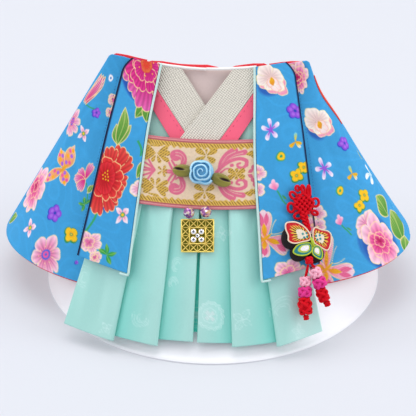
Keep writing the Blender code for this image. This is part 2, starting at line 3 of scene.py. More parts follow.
import bmesh
import bpy
import numpy as np
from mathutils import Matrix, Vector


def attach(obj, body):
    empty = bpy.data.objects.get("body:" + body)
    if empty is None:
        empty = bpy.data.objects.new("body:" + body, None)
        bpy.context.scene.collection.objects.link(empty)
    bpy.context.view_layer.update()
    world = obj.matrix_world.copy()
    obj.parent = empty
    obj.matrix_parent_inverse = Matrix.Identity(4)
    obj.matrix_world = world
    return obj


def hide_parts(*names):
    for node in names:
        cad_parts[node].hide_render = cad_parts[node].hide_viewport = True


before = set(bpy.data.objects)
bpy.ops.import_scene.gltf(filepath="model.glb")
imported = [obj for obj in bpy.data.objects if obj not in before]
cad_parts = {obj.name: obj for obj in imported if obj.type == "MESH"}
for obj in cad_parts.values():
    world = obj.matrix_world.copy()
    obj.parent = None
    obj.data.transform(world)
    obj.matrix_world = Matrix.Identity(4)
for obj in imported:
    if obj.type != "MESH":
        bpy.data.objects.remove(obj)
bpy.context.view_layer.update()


# The studio: a pale floor that glows softly from below, under a white sky, with one large soft
# box above and a small one at each side. The camera looks down on the garment's front.
def to_linear(colour):
    """sRGB values from 0 to 1, in an array of any shape, as linear values."""
    colour = np.asarray(colour, dtype=float)
    return np.where(colour <= 0.04045, colour / 12.92, ((colour + 0.055) / 1.055) ** 2.4)


def srgb(colour):
    """The three sRGB values, from 0 to 1, of a hex colour. Values already so come back as given."""
    if not isinstance(colour, str):
        return colour
    return np.array([int(colour[i:i + 2], 16) for i in (1, 3, 5)]) / 255


def socket_colour(hex_colour):
    """A hex colour as a socket takes it: linear, and opaque."""
    return (*to_linear(srgb(hex_colour)), 1)


def add(tree, kind, inputs=None, **settings):
    """Adds a node with its settings. An input is a number, a colour or an output to link."""
    made = tree.nodes.new(kind)
    for name, value in settings.items():
        setattr(made, name, value)
    for name, value in (inputs or {}).items():
        if isinstance(value, bpy.types.NodeSocket):
            tree.links.new(value, made.inputs[name])
        else:
            made.inputs[name].default_value = value
    return made


def finish(name, hex_colour, roughness, **sockets):
    """A new material and its shader, with a colour from a hex value."""
    made = bpy.data.materials.new(name)
    made.use_nodes = True
    shader = made.node_tree.nodes["Principled BSDF"]
    shader.inputs["Base Color"].default_value = socket_colour(hex_colour)
    shader.inputs["Roughness"].default_value = roughness
    for socket, value in sockets.items():
        shader.inputs[socket.replace("_", " ")].default_value = value
    return made, made.node_tree, shader


scene = bpy.context.scene
scene.view_settings.view_transform = "Standard"
world = bpy.data.worlds.new("studio_sky")
world.use_nodes = True
sky = world.node_tree.nodes["Background"]
sky.inputs["Color"].default_value = socket_colour("#F4F6FF")
sky.inputs["Strength"].default_value = 0.72
scene.world = world

floor_size = 12
bpy.ops.mesh.primitive_plane_add(size=floor_size)
floor = bpy.context.object
floor.name = "studio_floor"
# Translucent acrylic on a light table: matt and even, and its own light softens every shadow
paper, _, paper_shader = finish("light_table_acrylic", "#AEB0B4", 0.8)
paper_shader.inputs["Emission Color"].default_value = socket_colour("#F4F6FF")
paper_shader.inputs["Emission Strength"].default_value = 0.3
floor.data.materials.append(paper)

# Columns: name, place in metres, size in metres, power in watts
soft_boxes = (
    ("soft_box_top", (-0.1, 0.3, 1.7), 1.4, 15),
    ("soft_box_left", (-1.3, -0.2, 0.8), 0.9, 6.2),
    ("soft_box_right", (1.3, -0.1, 0.7), 0.9, 7.6),
)
for name, place, size, power in soft_boxes:
    light = bpy.data.lights.new(name, "AREA")
    light.size = size
    light.energy = power
    lamp = bpy.data.objects.new(name, light)
    lamp.location = place
    lamp.rotation_euler = (Vector((0, 0, 0.05)) - lamp.location).to_track_quat("-Z", "Y").to_euler()
    scene.collection.objects.link(lamp)

camera_distance = 0.8
camera_azimuth = radians(4.5)
camera_elevation = radians(32.4)
camera_pitch = radians(30.28)     # it aims a little over the garment's foot
camera = bpy.data.objects.new("camera", bpy.data.cameras.new("camera"))
camera.data.sensor_width = 36
camera.data.lens = 141.85
camera.data.clip_start = 0.01
camera.location = camera_distance * Vector((sin(camera_azimuth) * cos(camera_elevation),
    -cos(camera_azimuth) * cos(camera_elevation), sin(camera_elevation)))
camera.rotation_euler = (pi / 2 - camera_pitch, 0, camera_azimuth)
scene.collection.objects.link(camera)
scene.camera = camera


# The display form: a limbless stand of satin white plastic, moulded in one piece. Its round
# foot is flat underneath and narrows to a flat oval neck inside the garment.
weld_distance = 2e-6   # metres: points closer than this are one, so round ends close to a pole


def add_mesh(name, points, faces, skin, uv=None, colours=None, smooth=True):
    """A mesh in the row frame from points in millimetres. uv and colours are per point."""
    mesh = bpy.data.meshes.new(name)
    points = np.asarray(points, dtype=float).reshape(-1, 3)
    faces = np.asarray(faces, dtype=np.int32)
    corners = faces.shape[1]
    mesh.vertices.add(len(points))
    mesh.vertices.foreach_set("co", (points * 0.001).ravel())
    mesh.loops.add(faces.size)
    mesh.loops.foreach_set("vertex_index", faces.ravel())
    mesh.polygons.add(len(faces))
    mesh.polygons.foreach_set("loop_start", np.arange(0, faces.size, corners))
    mesh.update(calc_edges=True)
    mesh.polygons.foreach_set("use_smooth", np.full(len(faces), smooth))
    if uv is not None:
        layer = mesh.uv_layers.new(name="cloth")
        layer.data.foreach_set("uv", np.asarray(uv, dtype=float).reshape(-1, 2)[faces.ravel()].ravel())
    if colours is not None:
        paint = mesh.attributes.new("paint", "FLOAT_COLOR", "POINT")
        rgba = np.ones((len(points), 4))
        colours = np.asarray(colours, dtype=float).reshape(len(points), -1)
        rgba[:, :3] = to_linear(np.clip(colours[:, :3], 0, 1))
        if colours.shape[1] == 4:
            rgba[:, 3] = colours[:, 3]
        paint.data.foreach_set("color", rgba.ravel())
    welded = bmesh.new()
    welded.from_mesh(mesh)
    bmesh.ops.remove_doubles(welded, verts=welded.verts, dist=weld_distance)
    welded.to_mesh(mesh)
    welded.free()
    mesh.materials.append(skin)
    piece = bpy.data.objects.new(name, mesh)
    scene.collection.objects.link(piece)
    return piece


def grid_faces(rows, columns, around=False):
    """Quads of a grid whose rows run down and columns run right, seen from outside."""
    wide = columns if around else columns - 1
    row, column = np.meshgrid(np.arange(rows - 1), np.arange(wide), indexing="ij")
    after = (column + 1) % columns
    quads = (row * columns + column, (row + 1) * columns + column, (row + 1) * columns + after,
        row * columns + after)
    return np.stack(quads, -1).reshape(-1, 4)


def round_turns(count):
    """Angles spaced evenly once round."""
    return np.linspace(0, tau, count, endpoint=False)


def fine_grain(tree, shader, scale, detail, strength, height):
    """A fine unevenness, scale bumps a metre across and height metres deep, as bump."""
    coordinates = add(tree, "ShaderNodeTexCoord")
    grain = add(tree, "ShaderNodeTexNoise", {"Vector": coordinates.outputs["Object"], "Scale": scale,
        "Detail": detail})
    bump = add(tree, "ShaderNodeBump", {"Height": grain.outputs["Fac"], "Strength": strength,
        "Distance": height})
    tree.links.new(bump.outputs["Normal"], shader.inputs["Normal"])


def place_on(piece, slot, *nodes):
    """The piece rides on the garment's one body and stands for CAD nodes."""
    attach(piece, "root")
    if nodes:
        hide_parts(*nodes)
    return piece


form_profile = np.array((
    # Columns: height, half width, half depth
    (0, 79.2, 79.2), (0.25, 79.7, 79.7), (0.7, 80, 80), (1.6, 79.9, 79.2), (2.5, 79.4, 77.6),
    (5.5, 78.2, 74.2), (9, 76.8, 70.4), (20, 72, 63.2), (40, 65.4, 50), (60, 58.2, 36.7),
    (80, 48, 23.5), (91, 41.5, 16), (97, 37, 11.6), (98.6, 34.5, 9.2), (99.2, 30, 6),
    (99.2, 15, 3), (99.2, 0, 0),
))
form_steps = np.linspace(0, len(form_profile) - 1, 90)
form_rings = np.stack([np.interp(form_steps, np.arange(len(form_profile)), form_profile[:, i])
    for i in range(3)], -1)[::-1]
form_top_z, foot_shift, form_sides = 97, 2.5, 160
turn = round_turns(form_sides)
shift = foot_shift * np.maximum(0, 1 - form_rings[:, :1] / form_top_z)
form_points = np.stack([shift + form_rings[:, 1:2] * np.cos(turn), form_rings[:, 2:3] * np.sin(turn),
    np.broadcast_to(form_rings[:, :1], (len(form_rings), form_sides))], -1)
underside = form_points[-1:] * np.array((0, 0, 1))
form_points = np.concatenate([form_points, underside])
form_faces = grid_faces(len(form_points), form_sides, around=True)

# Polystyrene moulded in a polished tool: smooth, white, with broad soft highlights
plastic, tree, shader = finish("moulded_white_plastic", "#F6F6F8", 0.42, IOR=1.5)
fine_grain(tree, shader, 900, 2, 0.04, 0.0001)
place_on(add_mesh("form_shell", form_points, form_faces, plastic), "white_form", "display_form")


# The neck: a red lining that stands up behind the neck edge, a skin-coloured satin inset in the
# V of the collar, and a white satin binding along the top edge. Sewn together at the neck.
neck_front_z, neck_edge_z, shoulder_z = 111.5, 111.8, 113.5
neck_half_width, hem_half_width = 44.6, 96.6
neck_depth, front_slope = 9, 0.663
neck_bow, hem_bow, front_foot_z = 0.0045, 0.0035, 9
slant = hypot(1, front_slope)   # length down the front for each unit of height


def neck_z(x):
    """Height of the front neck edge."""
    return neck_edge_z + (shoulder_z - neck_edge_z) * (x / neck_half_width) ** 2


def front(x, z, lift=0):
    """Points in front of the body, lift millimetres out from the garment's sloping front."""
    x, z, lift = np.broadcast_arrays(np.asarray(x, dtype=float), z, lift)
    bow = neck_bow + (hem_bow - neck_bow) * (neck_front_z - z) / (neck_front_z - front_foot_z)
    depth = neck_depth + front_slope * (neck_front_z - z) - bow * x * x
    out = np.stack([2 * bow * x, -np.ones_like(x), np.full_like(x, front_slope)], -1)
    out /= np.linalg.norm(out, axis=-1, keepdims=True)
    return np.stack([x, -depth, z], -1) + lift[..., None] * out


def on_front(flat, lift):
    """The same for an array of (x, z)."""
    return front(flat[..., 0], flat[..., 1], lift)


def front_place(x, z, lift):
    """A place on the front: its point, and its axes across, up the slope and outwards."""
    origin = front(x, z, lift)
    out = front(x, z, lift + 1) - origin
    across = front(x + 0.1, z, lift) - front(x - 0.1, z, lift)
    across /= np.linalg.norm(across)
    up = np.cross(out, across)
    return origin, np.stack([across, up, out])


def between(left, right, columns):
    """A grid of rows across a piece, from its left and right edges, arrays of (x, z)."""
    share = np.linspace(0, 1, columns)[None, :, None]
    return np.asarray(left)[:, None] * (1 - share) + np.asarray(right)[:, None] * share


def unit(vectors):
    """The vectors at length 1."""
    return vectors / np.maximum(np.linalg.norm(vectors, axis=-1, keepdims=True), 1e-9)


def outward(grid):
    """Unit normals of a grid seen from outside."""
    return unit(np.cross(np.gradient(grid, axis=0), np.gradient(grid, axis=1)))


def left_to_right(side, inner, outer):
    """A piece's two edges, the left one first. side is -1 on the left and 1 on the right."""
    return (outer, inner) if side < 0 else (inner, outer)


def lengths(grid):
    """Distances across and down a grid of points, in millimetres: its place on the flat cloth."""
    across = np.linalg.norm(np.diff(grid, axis=1), axis=-1)
    down = np.linalg.norm(np.diff(grid, axis=0), axis=-1)
    u = np.concatenate([np.zeros((len(grid), 1)), across.cumsum(1)], 1)
    v = np.concatenate([np.zeros((1, grid.shape[1])), down.cumsum(0)], 0)
    return np.stack([u - u[:, -1:] / 2, -v], -1)


def widened(grid):
    """The grid with its edge rows and columns doubled."""
    return np.pad(grid, ((1, 1), (1, 1), (0, 0)), mode="edge")


def cloth(name, grid, skin, colours=None, hem=0.7, rounding=0.3, uv=None):
    """A piece of cloth from a grid of points, with its edges rounded and turned under by hem."""
    normal = outward(grid)
    uv = lengths(grid) if uv is None else uv
    for depth, spread in ((0.35 * rounding, 0.3 * rounding), (hem, 0)):
        wide, normal, uv = widened(grid), widened(normal), widened(uv)
        out = wide.copy()
        for side in (np.s_[0], np.s_[-1], np.s_[:, 0], np.s_[:, -1]):
            out[side] -= normal[side] * depth
        out[0] -= spread * unit(wide[2] - wide[1])
        out[-1] += spread * unit(wide[-2] - wide[-3])
        out[:, 0] -= spread * unit(wide[:, 2] - wide[:, 1])
        out[:, -1] += spread * unit(wide[:, -2] - wide[:, -3])
        grid = out
        if colours is not None:
            colours = widened(colours)
    return add_mesh(name, grid, grid_faces(*grid.shape[:2]), skin, uv=uv, colours=colours)


def weave(tree, shader, pitch, strength, colour=None, shade=0.06, twill=0):
    """Threads over and under each other, pitch millimetres apart, as bump and faint shade. They
    are drawn about twice as coarse as real ones, so that they show."""
    chart = add(tree, "ShaderNodeUVMap", uv_map="cloth")
    turned = add(tree, "ShaderNodeMapping", {"Vector": chart.outputs["UV"], "Rotation": (0, 0, twill),
        "Scale": (tau / pitch,) * 3})
    parts = add(tree, "ShaderNodeSeparateXYZ", {"Vector": turned.outputs["Vector"]})
    warp = add(tree, "ShaderNodeMath", {0: parts.outputs["X"]}, operation="SINE")
    weft = add(tree, "ShaderNodeMath", {0: parts.outputs["Y"]}, operation="SINE")
    over = add(tree, "ShaderNodeMath", {0: warp.outputs[0], 1: weft.outputs[0]}, operation="MULTIPLY")
    slub = add(tree, "ShaderNodeTexNoise", {"Vector": chart.outputs["UV"], "Scale": 0.9, "Detail": 3})
    uneven = add(tree, "ShaderNodeMath", {0: over.outputs[0], 1: 0.35, 2: slub.outputs["Fac"]},
        operation="MULTIPLY_ADD")
    bump = add(tree, "ShaderNodeBump", {"Height": uneven.outputs[0], "Strength": strength,
        "Distance": 0.0002})
    tree.links.new(bump.outputs["Normal"], shader.inputs["Normal"])
    if isinstance(colour, str):
        colour = to_linear(srgb(colour))
    if colour is not None:
        faint = add(tree, "ShaderNodeMapRange", {"Value": uneven.outputs[0], "From Min": 0.2,
            "From Max": 0.8, "To Min": 1 - shade, "To Max": 1 + shade})
        mixed = add(tree, "ShaderNodeVectorMath", {0: colour, "Scale": faint.outputs[0]}, operation="SCALE")
        tree.links.new(mixed.outputs[0], shader.inputs["Base Color"])


# Plain-woven, piece-dyed cotton: matt, with a fine even grain
red_cotton, tree, shader = finish("red_cotton_lining", "#E3001F", 0.62, Sheen_Weight=0.2)
weave(tree, shader, 0.5, 0.25, "#E00A24")

lining_peeks = (1.2, 1.7, 1.7, 1.65, 1.8, 1.95, 2.1, 1.4, 0.2, 1.6, 1.9, 2, 1.6)
neck_reach, lining_height, lift_neck_lining = 29.5, 8, -5.2
x = np.linspace(-neck_reach, neck_reach, 117)
peek = np.interp(x, np.linspace(-26, 26, 13), lining_peeks) * np.clip((neck_reach - np.abs(x)) / 3, 0, 1)
grid = between(np.stack([x, neck_z(x) + peek], -1), np.stack([x, neck_z(x) - lining_height], -1), 10)
grid = on_front(grid, lift_neck_lining).transpose(1, 0, 2)
neck_lining = place_on(cloth("neck_lining_cloth", grid, red_cotton, hem=0.9), "red_lining", "neck_lining")

# Heat-set polyester satin: long floats give a soft sheen and hardly any grain
skin_satin, tree, shader = finish("skin_satin", "#CDB8B2", 0.5, Sheen_Weight=0.15)
weave(tree, shader, 0.5, 0.12, "#D6C0BA", shade=0.03)
lift_inset = -3.9
top = np.linspace(-16, 16, 41)
grid = between(np.stack([top, neck_z(top) + 0.1], -1), np.stack([top * 7 / 16, np.full(41, 92)], -1), 30)
grid = on_front(grid, lift_inset).transpose(1, 0, 2)
inset = place_on(cloth("inset_cloth", grid, skin_satin), "inset_satin", "inset")

# Satin cut on the cross and folded over: the bend catches one bright line
white_satin, tree, shader = finish("white_satin_binding", "#F6F3EF", 0.35, Sheen_Weight=0.2)
weave(tree, shader, 0.5, 0.08, "#F4F1EC", shade=0.02)
binding_x = np.linspace(-22.6, 22.2, 90)
binding_turn = np.linspace(-0.5 * pi, 0.75 * pi, 9)
binding_lift = -1.6 + 1.2 * (binding_x > 0) + np.interp(np.abs(binding_x), (0, 9, 12), (-1, -0.6, 0))
grid = np.stack([front(binding_x, neck_z(binding_x) + 0.1 + 0.55 * sin(around),
    binding_lift + 0.75 * cos(around)) for around in binding_turn[::-1]])
binding = place_on(cloth("neck_binding", grid, white_satin, hem=0.2), "inset_satin")


# The bodice: two mint satin fronts that meet under the collar. Plain satin, cut on the cross
# and sewn to the neck, with its lower edge behind the waistband.
# Piece-dyed polyester satin: its long warp floats lie smooth and shine broadly
mint_satin, tree, shader = finish("mint_satin", "#C2EEE4", 0.36, Sheen_Weight=0.25)
weave(tree, shader, 0.45, 0.08, "#B4E6D8", shade=0.02)
lift_bodice, bodice_reach, bodice_bottom = -2.6, 26, 66.5
for side, name in ((-1, "bodice_left"), (1, "bodice_right")):
    inner = np.linspace((side * 17, neck_z(17)), (side * 0.2, bodice_bottom), 90)
    outer = np.linspace((side * bodice_reach, neck_z(bodice_reach)), (side * 31, bodice_bottom), 90)
    grid = between(*left_to_right(side, inner, outer), 40)
    # The right front is pushed outwards by the collar's upper band
    pushed = 1.35 * np.clip((grid[..., 0] - 15) / 5, 0, 1)
    grid = on_front(grid, lift_bodice + pushed)
    place_on(cloth(name + "_cloth", grid, mint_satin), "mint_satin", name)


# The collar: two crossed bands of off-white ribbed tape, the viewer's right one on top. Each
# has a folded pink satin edge, sewn under its outer side with small even stitches.
# Warp-knitted cotton tape: matt ribs, with painted shade darkening the dimple between the stitches
ribbed_tape, tree, shader = finish("ribbed_tape", "#F0EBE2", 0.85)
chart = add(tree, "ShaderNodeUVMap", uv_map="cloth")
parts = add(tree, "ShaderNodeSeparateXYZ", {"Vector": chart.outputs["UV"]})
rib_pitch, knit_pitch = 1.05, 0.9
waves = []
for axis, pitch in (("X", rib_pitch), ("Y", knit_pitch)):
    wave_turn = add(tree, "ShaderNodeMath", {0: parts.outputs[axis], 1: tau / pitch}, operation="MULTIPLY")
    waves.append(add(tree, "ShaderNodeMath", {0: wave_turn.outputs[0]}, operation="SINE").outputs[0])
ribs = add(tree, "ShaderNodeMath", {0: waves[1], 1: 0.6, 2: waves[0]}, operation="MULTIPLY_ADD")
bump = add(tree, "ShaderNodeBump", {"Height": ribs.outputs[0], "Strength": 0.7, "Distance": 0.0003})
tree.links.new(bump.outputs["Normal"], shader.inputs["Normal"])
# Painted shade: the colour turns darker where the ribs dip deepest
painted_groove_shade = add(tree, "ShaderNodeMapRange", {"Value": ribs.outputs[0], "From Min": -1.5, "From Max": -0.5,
    "To Min": 0, "To Max": 1})
shade = add(tree, "ShaderNodeMix", {"Factor": painted_groove_shade.outputs[0], "A": socket_colour("#BDB3A4"),
    "B": socket_colour("#ECE6D7")}, data_type="RGBA")
tree.links.new(shade.outputs["Result"], shader.inputs["Base Color"])
# Bias satin, pressed flat while folded: smooth, with a faint sheen along the fold
pink_satin, tree, shader = finish("pink_satin_trim", "#F0587F", 0.4, Sheen_Weight=0.3)
weave(tree, shader, 0.45, 0.1, "#F8607E", shade=0.03)

# Spun polyester thread: a dull fine line, a shade darker than the cloth it sews
pink_thread, _, _ = finish("pink_polyester_thread", "#C83A62", 0.6)


def stitches(name, paths, skin, gap, half_length, radius):
    """Stitches set evenly along paths by Geometry Nodes. Sizes are in metres."""
    starts = np.cumsum([0] + [len(path) for path in paths])
    edges = [(index, index + 1) for a, b in zip(starts[:-1], starts[1:]) for index in range(a, b - 1)]
    mesh = bpy.data.meshes.new(name)
    mesh.from_pydata((np.concatenate(paths) * 0.001).tolist(), edges, [])
    piece = bpy.data.objects.new(name, mesh)
    scene.collection.objects.link(piece)
    rule = bpy.data.node_groups.new("stitch_rule", "GeometryNodeTree")
    for way in ("INPUT", "OUTPUT"):
        rule.interface.new_socket("Geometry", in_out=way, socket_type="NodeSocketGeometry")
    sizes = {"Gap": gap, "Half Length": half_length, "Radius": radius}
    sockets = {label: rule.interface.new_socket(label, in_out="INPUT",
        socket_type="NodeSocketFloat").identifier for label in sizes}
    given = add(rule, "NodeGroupInput")
    line = add(rule, "GeometryNodeMeshToCurve", {"Mesh": given.outputs["Geometry"]})
    spaced = add(rule, "GeometryNodeResampleCurve", {"Curve": line.outputs[0],
        "Length": given.outputs["Gap"]}, mode="LENGTH")
    tangent = add(rule, "GeometryNodeInputTangent")
    lie = add(rule, "FunctionNodeAlignRotationToVector", {"Vector": tangent.outputs[0]}, axis="Z")
    ball = add(rule, "GeometryNodeMeshUVSphere", {"Segments": 8, "Rings": 6, "Radius": 1})
    stretch = add(rule, "ShaderNodeCombineXYZ", {"X": given.outputs["Radius"], "Y": given.outputs["Radius"],
        "Z": given.outputs["Half Length"]})
    thread = add(rule, "GeometryNodeTransform", {"Geometry": ball.outputs[0], "Scale": stretch.outputs[0]})
    uneven = add(rule, "FunctionNodeRandomValue", {2: 0.8, 3: 1.15, "Seed": 7})
    laid = add(rule, "GeometryNodeInstanceOnPoints", {"Points": spaced.outputs[0],
        "Instance": thread.outputs[0], "Rotation": lie.outputs[0], "Scale": uneven.outputs[1]})
    real = add(rule, "GeometryNodeRealizeInstances", {"Geometry": laid.outputs[0]})
    dyed = add(rule, "GeometryNodeSetMaterial", {"Geometry": real.outputs[0], "Material": skin})
    add(rule, "NodeGroupOutput", {"Geometry": dyed.outputs[0]})
    sewing = piece.modifiers.new("sewing", "NODES")
    sewing.node_group = rule
    for label, value in sizes.items():
        sewing[sockets[label]] = value
    piece.data = bpy.data.meshes.new_from_object(piece.evaluated_get(bpy.context.evaluated_depsgraph_get()))
    piece.modifiers.clear()
    piece.data.polygons.foreach_set("use_smooth", np.ones(len(piece.data.polygons), dtype=bool))
    return piece


collar_end_z, band_side_z, trim_side_z, rows = 82, 107, 97.5, 110
# Columns: name, side of its top end, outer lift, inner edge at the neck and at the end, outer
# edge at the end, and the trim's outer edge at the end
collar_bands = (
    ("under", -1, -1.3, 11.9, -14, 3.3, 12.6),
    ("over", 1, 0, 12.2, -13.2, 4.6, 13),
)
collars, trims = [], []
for name, side, lift, neck_inner, end_inner, end_outer, end_trim in collar_bands:
    raised = 1.4 * max(side, 0)
    band_z, trim_z = band_side_z + raised, trim_side_z + raised
    inner = np.linspace((side * neck_inner, neck_z(neck_inner)), (side * end_inner, collar_end_z), rows)
    corner = np.linspace((side * bodice_reach, neck_z(bodice_reach)), (side * bodice_reach, band_z), 14)
    lower = np.linspace(corner[-1], (side * end_outer, collar_end_z), rows - len(corner) + 1)
    outer = np.concatenate([corner, lower[1:]])
    flat = between(*left_to_right(side, inner, outer), 40)
    along = unit(np.array((side * (end_inner - neck_inner), -slant * (neck_z(neck_inner) - collar_end_z))))
    chart = np.stack([flat[..., 0] * along[1] - flat[..., 1] * slant * along[0],
        flat[..., 0] * along[0] + flat[..., 1] * slant * along[1]], -1)
    grid = on_front(flat, lift)
    collars.append(place_on(cloth("collar_%s_tape" % name, grid, ribbed_tape, uv=chart), "ribbed_tape",
        "collar_" + name))
    inner = np.linspace((side * bodice_reach, band_z - 0.48), (side * (end_outer + 0.36), collar_end_z), rows)
    outer = np.linspace((side * bodice_reach, trim_z), (side * end_trim, collar_end_z), rows)
    grid = on_front(between(*left_to_right(side, inner, outer), 26), lift)
    trims.append(place_on(cloth("collar_trim_%s_satin" % name, grid, pink_satin), "pink_trim",
        "collar_trim_" + name))
    seam = inner[6:-12] + (side * 1.5, 0)
    sewn = place_on(stitches("collar_stitches_" + name, [on_front(seam, lift + 0.03)], pink_thread,
        gap=0.0026, half_length=0.00045, radius=0.00013), "pink_trim")


# The waistband: a wide jacquard ribbon with woven pink edges, across the front, its ends
# caught under the jacket. It covers the ends of the collar and the top of the skirt.
waist_top, waist_bottom, waist_half, lift_waistband = 85, 59.1, 33, 1.3
line_gold, purple = srgb("#F6DE98"), srgb("#9C50D2")


def cover(paint, colour, amount, shine=0):
    """Lays a colour on the paint, whose fourth value says how metallic it is."""
    target = np.empty_like(paint)
    target[:, :3] = srgb(colour)
    target[:, 3] = shine
    paint += (target - paint) * np.clip(amount, 0, 1)[:, None]


def inside(distance, soft=0.16):
    """1 where a distance is below zero, 0 above, and a soft step between."""
    return np.clip(0.5 - distance / (2 * soft), 0, 1)


def blend(start, end, share):
    """A mix of two colours."""
    start, end = srgb(start), srgb(end)
    return start + (end - start) * np.clip(share, 0, 1)[:, None]


def turned_by(u, v, degrees):
    """Places as seen on axes turned anticlockwise."""
    turn = radians(degrees)
    return u * cos(turn) + v * sin(turn), v * cos(turn) - u * sin(turn)


def petal(paint, u, v, degrees, length, width, inner, outer, rim=None, start=0, pointed=False, vein=None,
        frill=0, streaks=0.12):
    """One petal, wing or leaf that starts near the motif's middle and points along a direction."""
    along, across = turned_by(u, v, degrees)
    along = along - start
    tip = length * (1 - frill * (1 - np.abs(np.cos(4 * across / width))))
    share = np.clip(along / tip, 0, 1)
    shape = np.sin(pi * share) ** 0.9 if pointed else 1.25 * share ** 0.75 * np.sqrt(1 - share ** 4)
    half = width * shape
    distance = np.maximum(np.abs(across) - half, np.maximum(-along, along - tip))
    streak = 1 - streaks * (0.5 + 0.5 * np.cos(across * 8 / (0.3 + share)))
    cover(paint, blend(inner, outer, share ** 1.3) * streak[:, None], inside(distance))
    if vein is not None:
        cover(paint, vein, inside(np.abs(across) - 0.08) * inside(distance))
    if rim is not None:
        cover(paint, rim, inside(np.abs(distance) - 0.17), 0.6)


def petals(paint, u, v, r, rows, *colours, **how):
    """Petals of a motif of size r. Columns of rows: direction, length and half width over r."""
    for degrees, length, width in rows:
        petal(paint, u, v, degrees, length * r, width * r, *colours, **how)


def fan(paint, u, v, degrees, length, half, inner, outer, rim=None, lobes=3, streaks=0.2):
    """A broad petal that opens from the motif's middle, its outer edge scalloped in lobes."""
    distance = np.hypot(u, v)
    angle = (np.degrees(np.arctan2(v, u)) - degrees + 180) % 360 - 180
    part = np.clip(angle / half, -1.5, 1.5)
    reach = length * np.sqrt(np.maximum(0.2, 1 - 0.42 * part ** 4))
    reach = reach * (0.91 + 0.09 * np.abs(np.cos(0.5 * pi * lobes * part)) ** 0.7)
    aside = (np.abs(part) - 1) * np.radians(half) * np.maximum(distance, 0.2)
    outside = np.maximum(distance - reach, aside)
    ray = 0.5 + 0.5 * np.cos(np.radians(angle) * 34)
    streak = 1 - streaks * ray * np.clip(distance / length, 0.3, 1)
    cover(paint, blend(inner, outer, (distance / length) ** 1.6) * streak[:, None], inside(outside))
    if rim is not None:
        cover(paint, rim, inside(np.abs(outside) - 0.19), 0.6)


def dot(paint, u, v, x, y, radius, colour, shine=0):
    cover(paint, colour, inside(np.hypot(u - x, v - y) - radius), shine)


def discs(paint, u, v, r, *rows):
    """Round spots on a motif's middle. Columns of rows: radius over r, colour."""
    for radius, colour in rows:
        dot(paint, u, v, 0, 0, radius * r, colour)


def ring_of(paint, u, v, count, distance, radius, colour, turn=0):
    for index in range(count):
        angle = tau * index / count + turn
        dot(paint, u, v, distance * cos(angle), distance * sin(angle), radius, colour)


def stroke(paint, u, v, ends, bend, width, colour):
    """A stem or vein from one point to another, bent sideways in the middle."""
    (x0, y0), (x1, y1) = ends
    length = hypot(x1 - x0, y1 - y0)
    along = ((u - x0) * (x1 - x0) + (v - y0) * (y1 - y0)) / length
    across = ((v - y0) * (x1 - x0) - (u - x0) * (y1 - y0)) / length
    share = np.clip(along / length, 0, 1)
    distance = np.maximum(np.abs(across - bend * 4 * share * (1 - share)) - width / 2,
        np.maximum(-along, along - length))
    cover(paint, colour, inside(distance))


def curl(paint, u, v, path, width_start, width_end, colour, shine=0):
    """A line that swells or tapers along a path of points."""
    path = np.asarray(path)
    widths = np.linspace(width_start, width_end, len(path))
    distance = np.min(np.hypot(u[:, None] - path[:, 0], v[:, None] - path[:, 1]) - widths / 2, axis=1)
    cover(paint, colour, inside(distance), shine)


def paint_cloth(grid, motifs, place, ground):
    """The painted colours of a piece. place gives a motif's point on the cloth."""
    points, normals = grid.reshape(-1, 3), outward(grid).reshape(-1, 3)
    paint = ground.reshape(-1, 4).copy()
    for draw, a, b, size, degrees in motifs:
        centre = place(a, b)
        nearest = np.argmin(np.linalg.norm(points - centre, axis=-1))
        reach = max(2.6 * size, size + 3)
        near = (np.linalg.norm(points - centre, axis=-1) < reach) & (normals @ normals[nearest] > 0.5)
        across = unit(np.cross((0, 0, 1), normals[nearest]))
        up = np.cross(normals[nearest], across)
        offset = points[near] - centre
        u, v = turned_by(offset @ across, offset @ up, degrees)
        u = u + 0.07 * size * np.sin(2.6 * v / size + a + 2 * b)
        v = v + 0.07 * size * np.sin(2.9 * u / size + 1.7 * a + b)
        spot = paint[near]
        draw(spot, u, v, size)
        paint[near] = spot
    return paint.reshape(*grid.shape[:2], 4)


def painted(tree, shader, roughness, polished, metallic=0.5):
    """Colour from the piece's paint, whose fourth value makes it smoother and metallic."""
    brush = add(tree, "ShaderNodeAttribute", attribute_name="paint")
    rough = add(tree, "ShaderNodeMapRange", {"Value": brush.outputs["Alpha"], "To Min": roughness,
        "To Max": polished})
    tree.links.new(rough.outputs[0], shader.inputs["Roughness"])
    metal = add(tree, "ShaderNodeMath", {0: brush.outputs["Alpha"], 1: metallic}, operation="MULTIPLY")
    tree.links.new(metal.outputs[0], shader.inputs["Metallic"])
    return brush.outputs["Color"]


# The ribbon's pattern, in millimetres from its middle, is the same above and below its middle
# line: pink scrolls and fans, gold leaves with dark specks, and a gold chain along each edge.
band_cream, band_pink, band_gold, band_dark_warp_and_shade = map(srgb, ("#F2D6B4", "#E86C8C", "#D0A236", "#6E4E1A"))
across = np.linspace(-waist_half, waist_half, 331)
down = np.linspace(waist_top, waist_bottom, 161)
u, v = (part.ravel() for part in np.meshgrid(across, (down - 0.5 * (waist_top + waist_bottom)) * slant))
mirrored = np.abs(v - 0.3)
band_paint = np.empty((len(u), 4))
band_paint[:] = (*band_cream, 0)


def through(corners, count=30, closed=False):
    """A smooth path through corners, open or closed."""
    corners = np.asarray(corners, dtype=float)
    if closed:
        steps = np.linspace(0, len(corners), count, endpoint=False)
        corners = np.concatenate([corners[-1:], corners, corners[:2]])
    else:
        corners = np.concatenate([2 * corners[:1] - corners[1:2], corners, 2 * corners[-1:] - corners[-2:-1]])
        steps = np.linspace(0, len(corners) - 3.001, count)
    index, t = steps.astype(int), (steps % 1)[:, None]
    p0, p1, p2, p3 = (corners[index + shift] for shift in range(4))
    return 0.5 * (2 * p1 + (p2 - p0) * t + (2 * p0 - 5 * p1 + 4 * p2 - p3) * t ** 2
        + (3 * p1 - p0 - 3 * p2 + p3) * t ** 3)


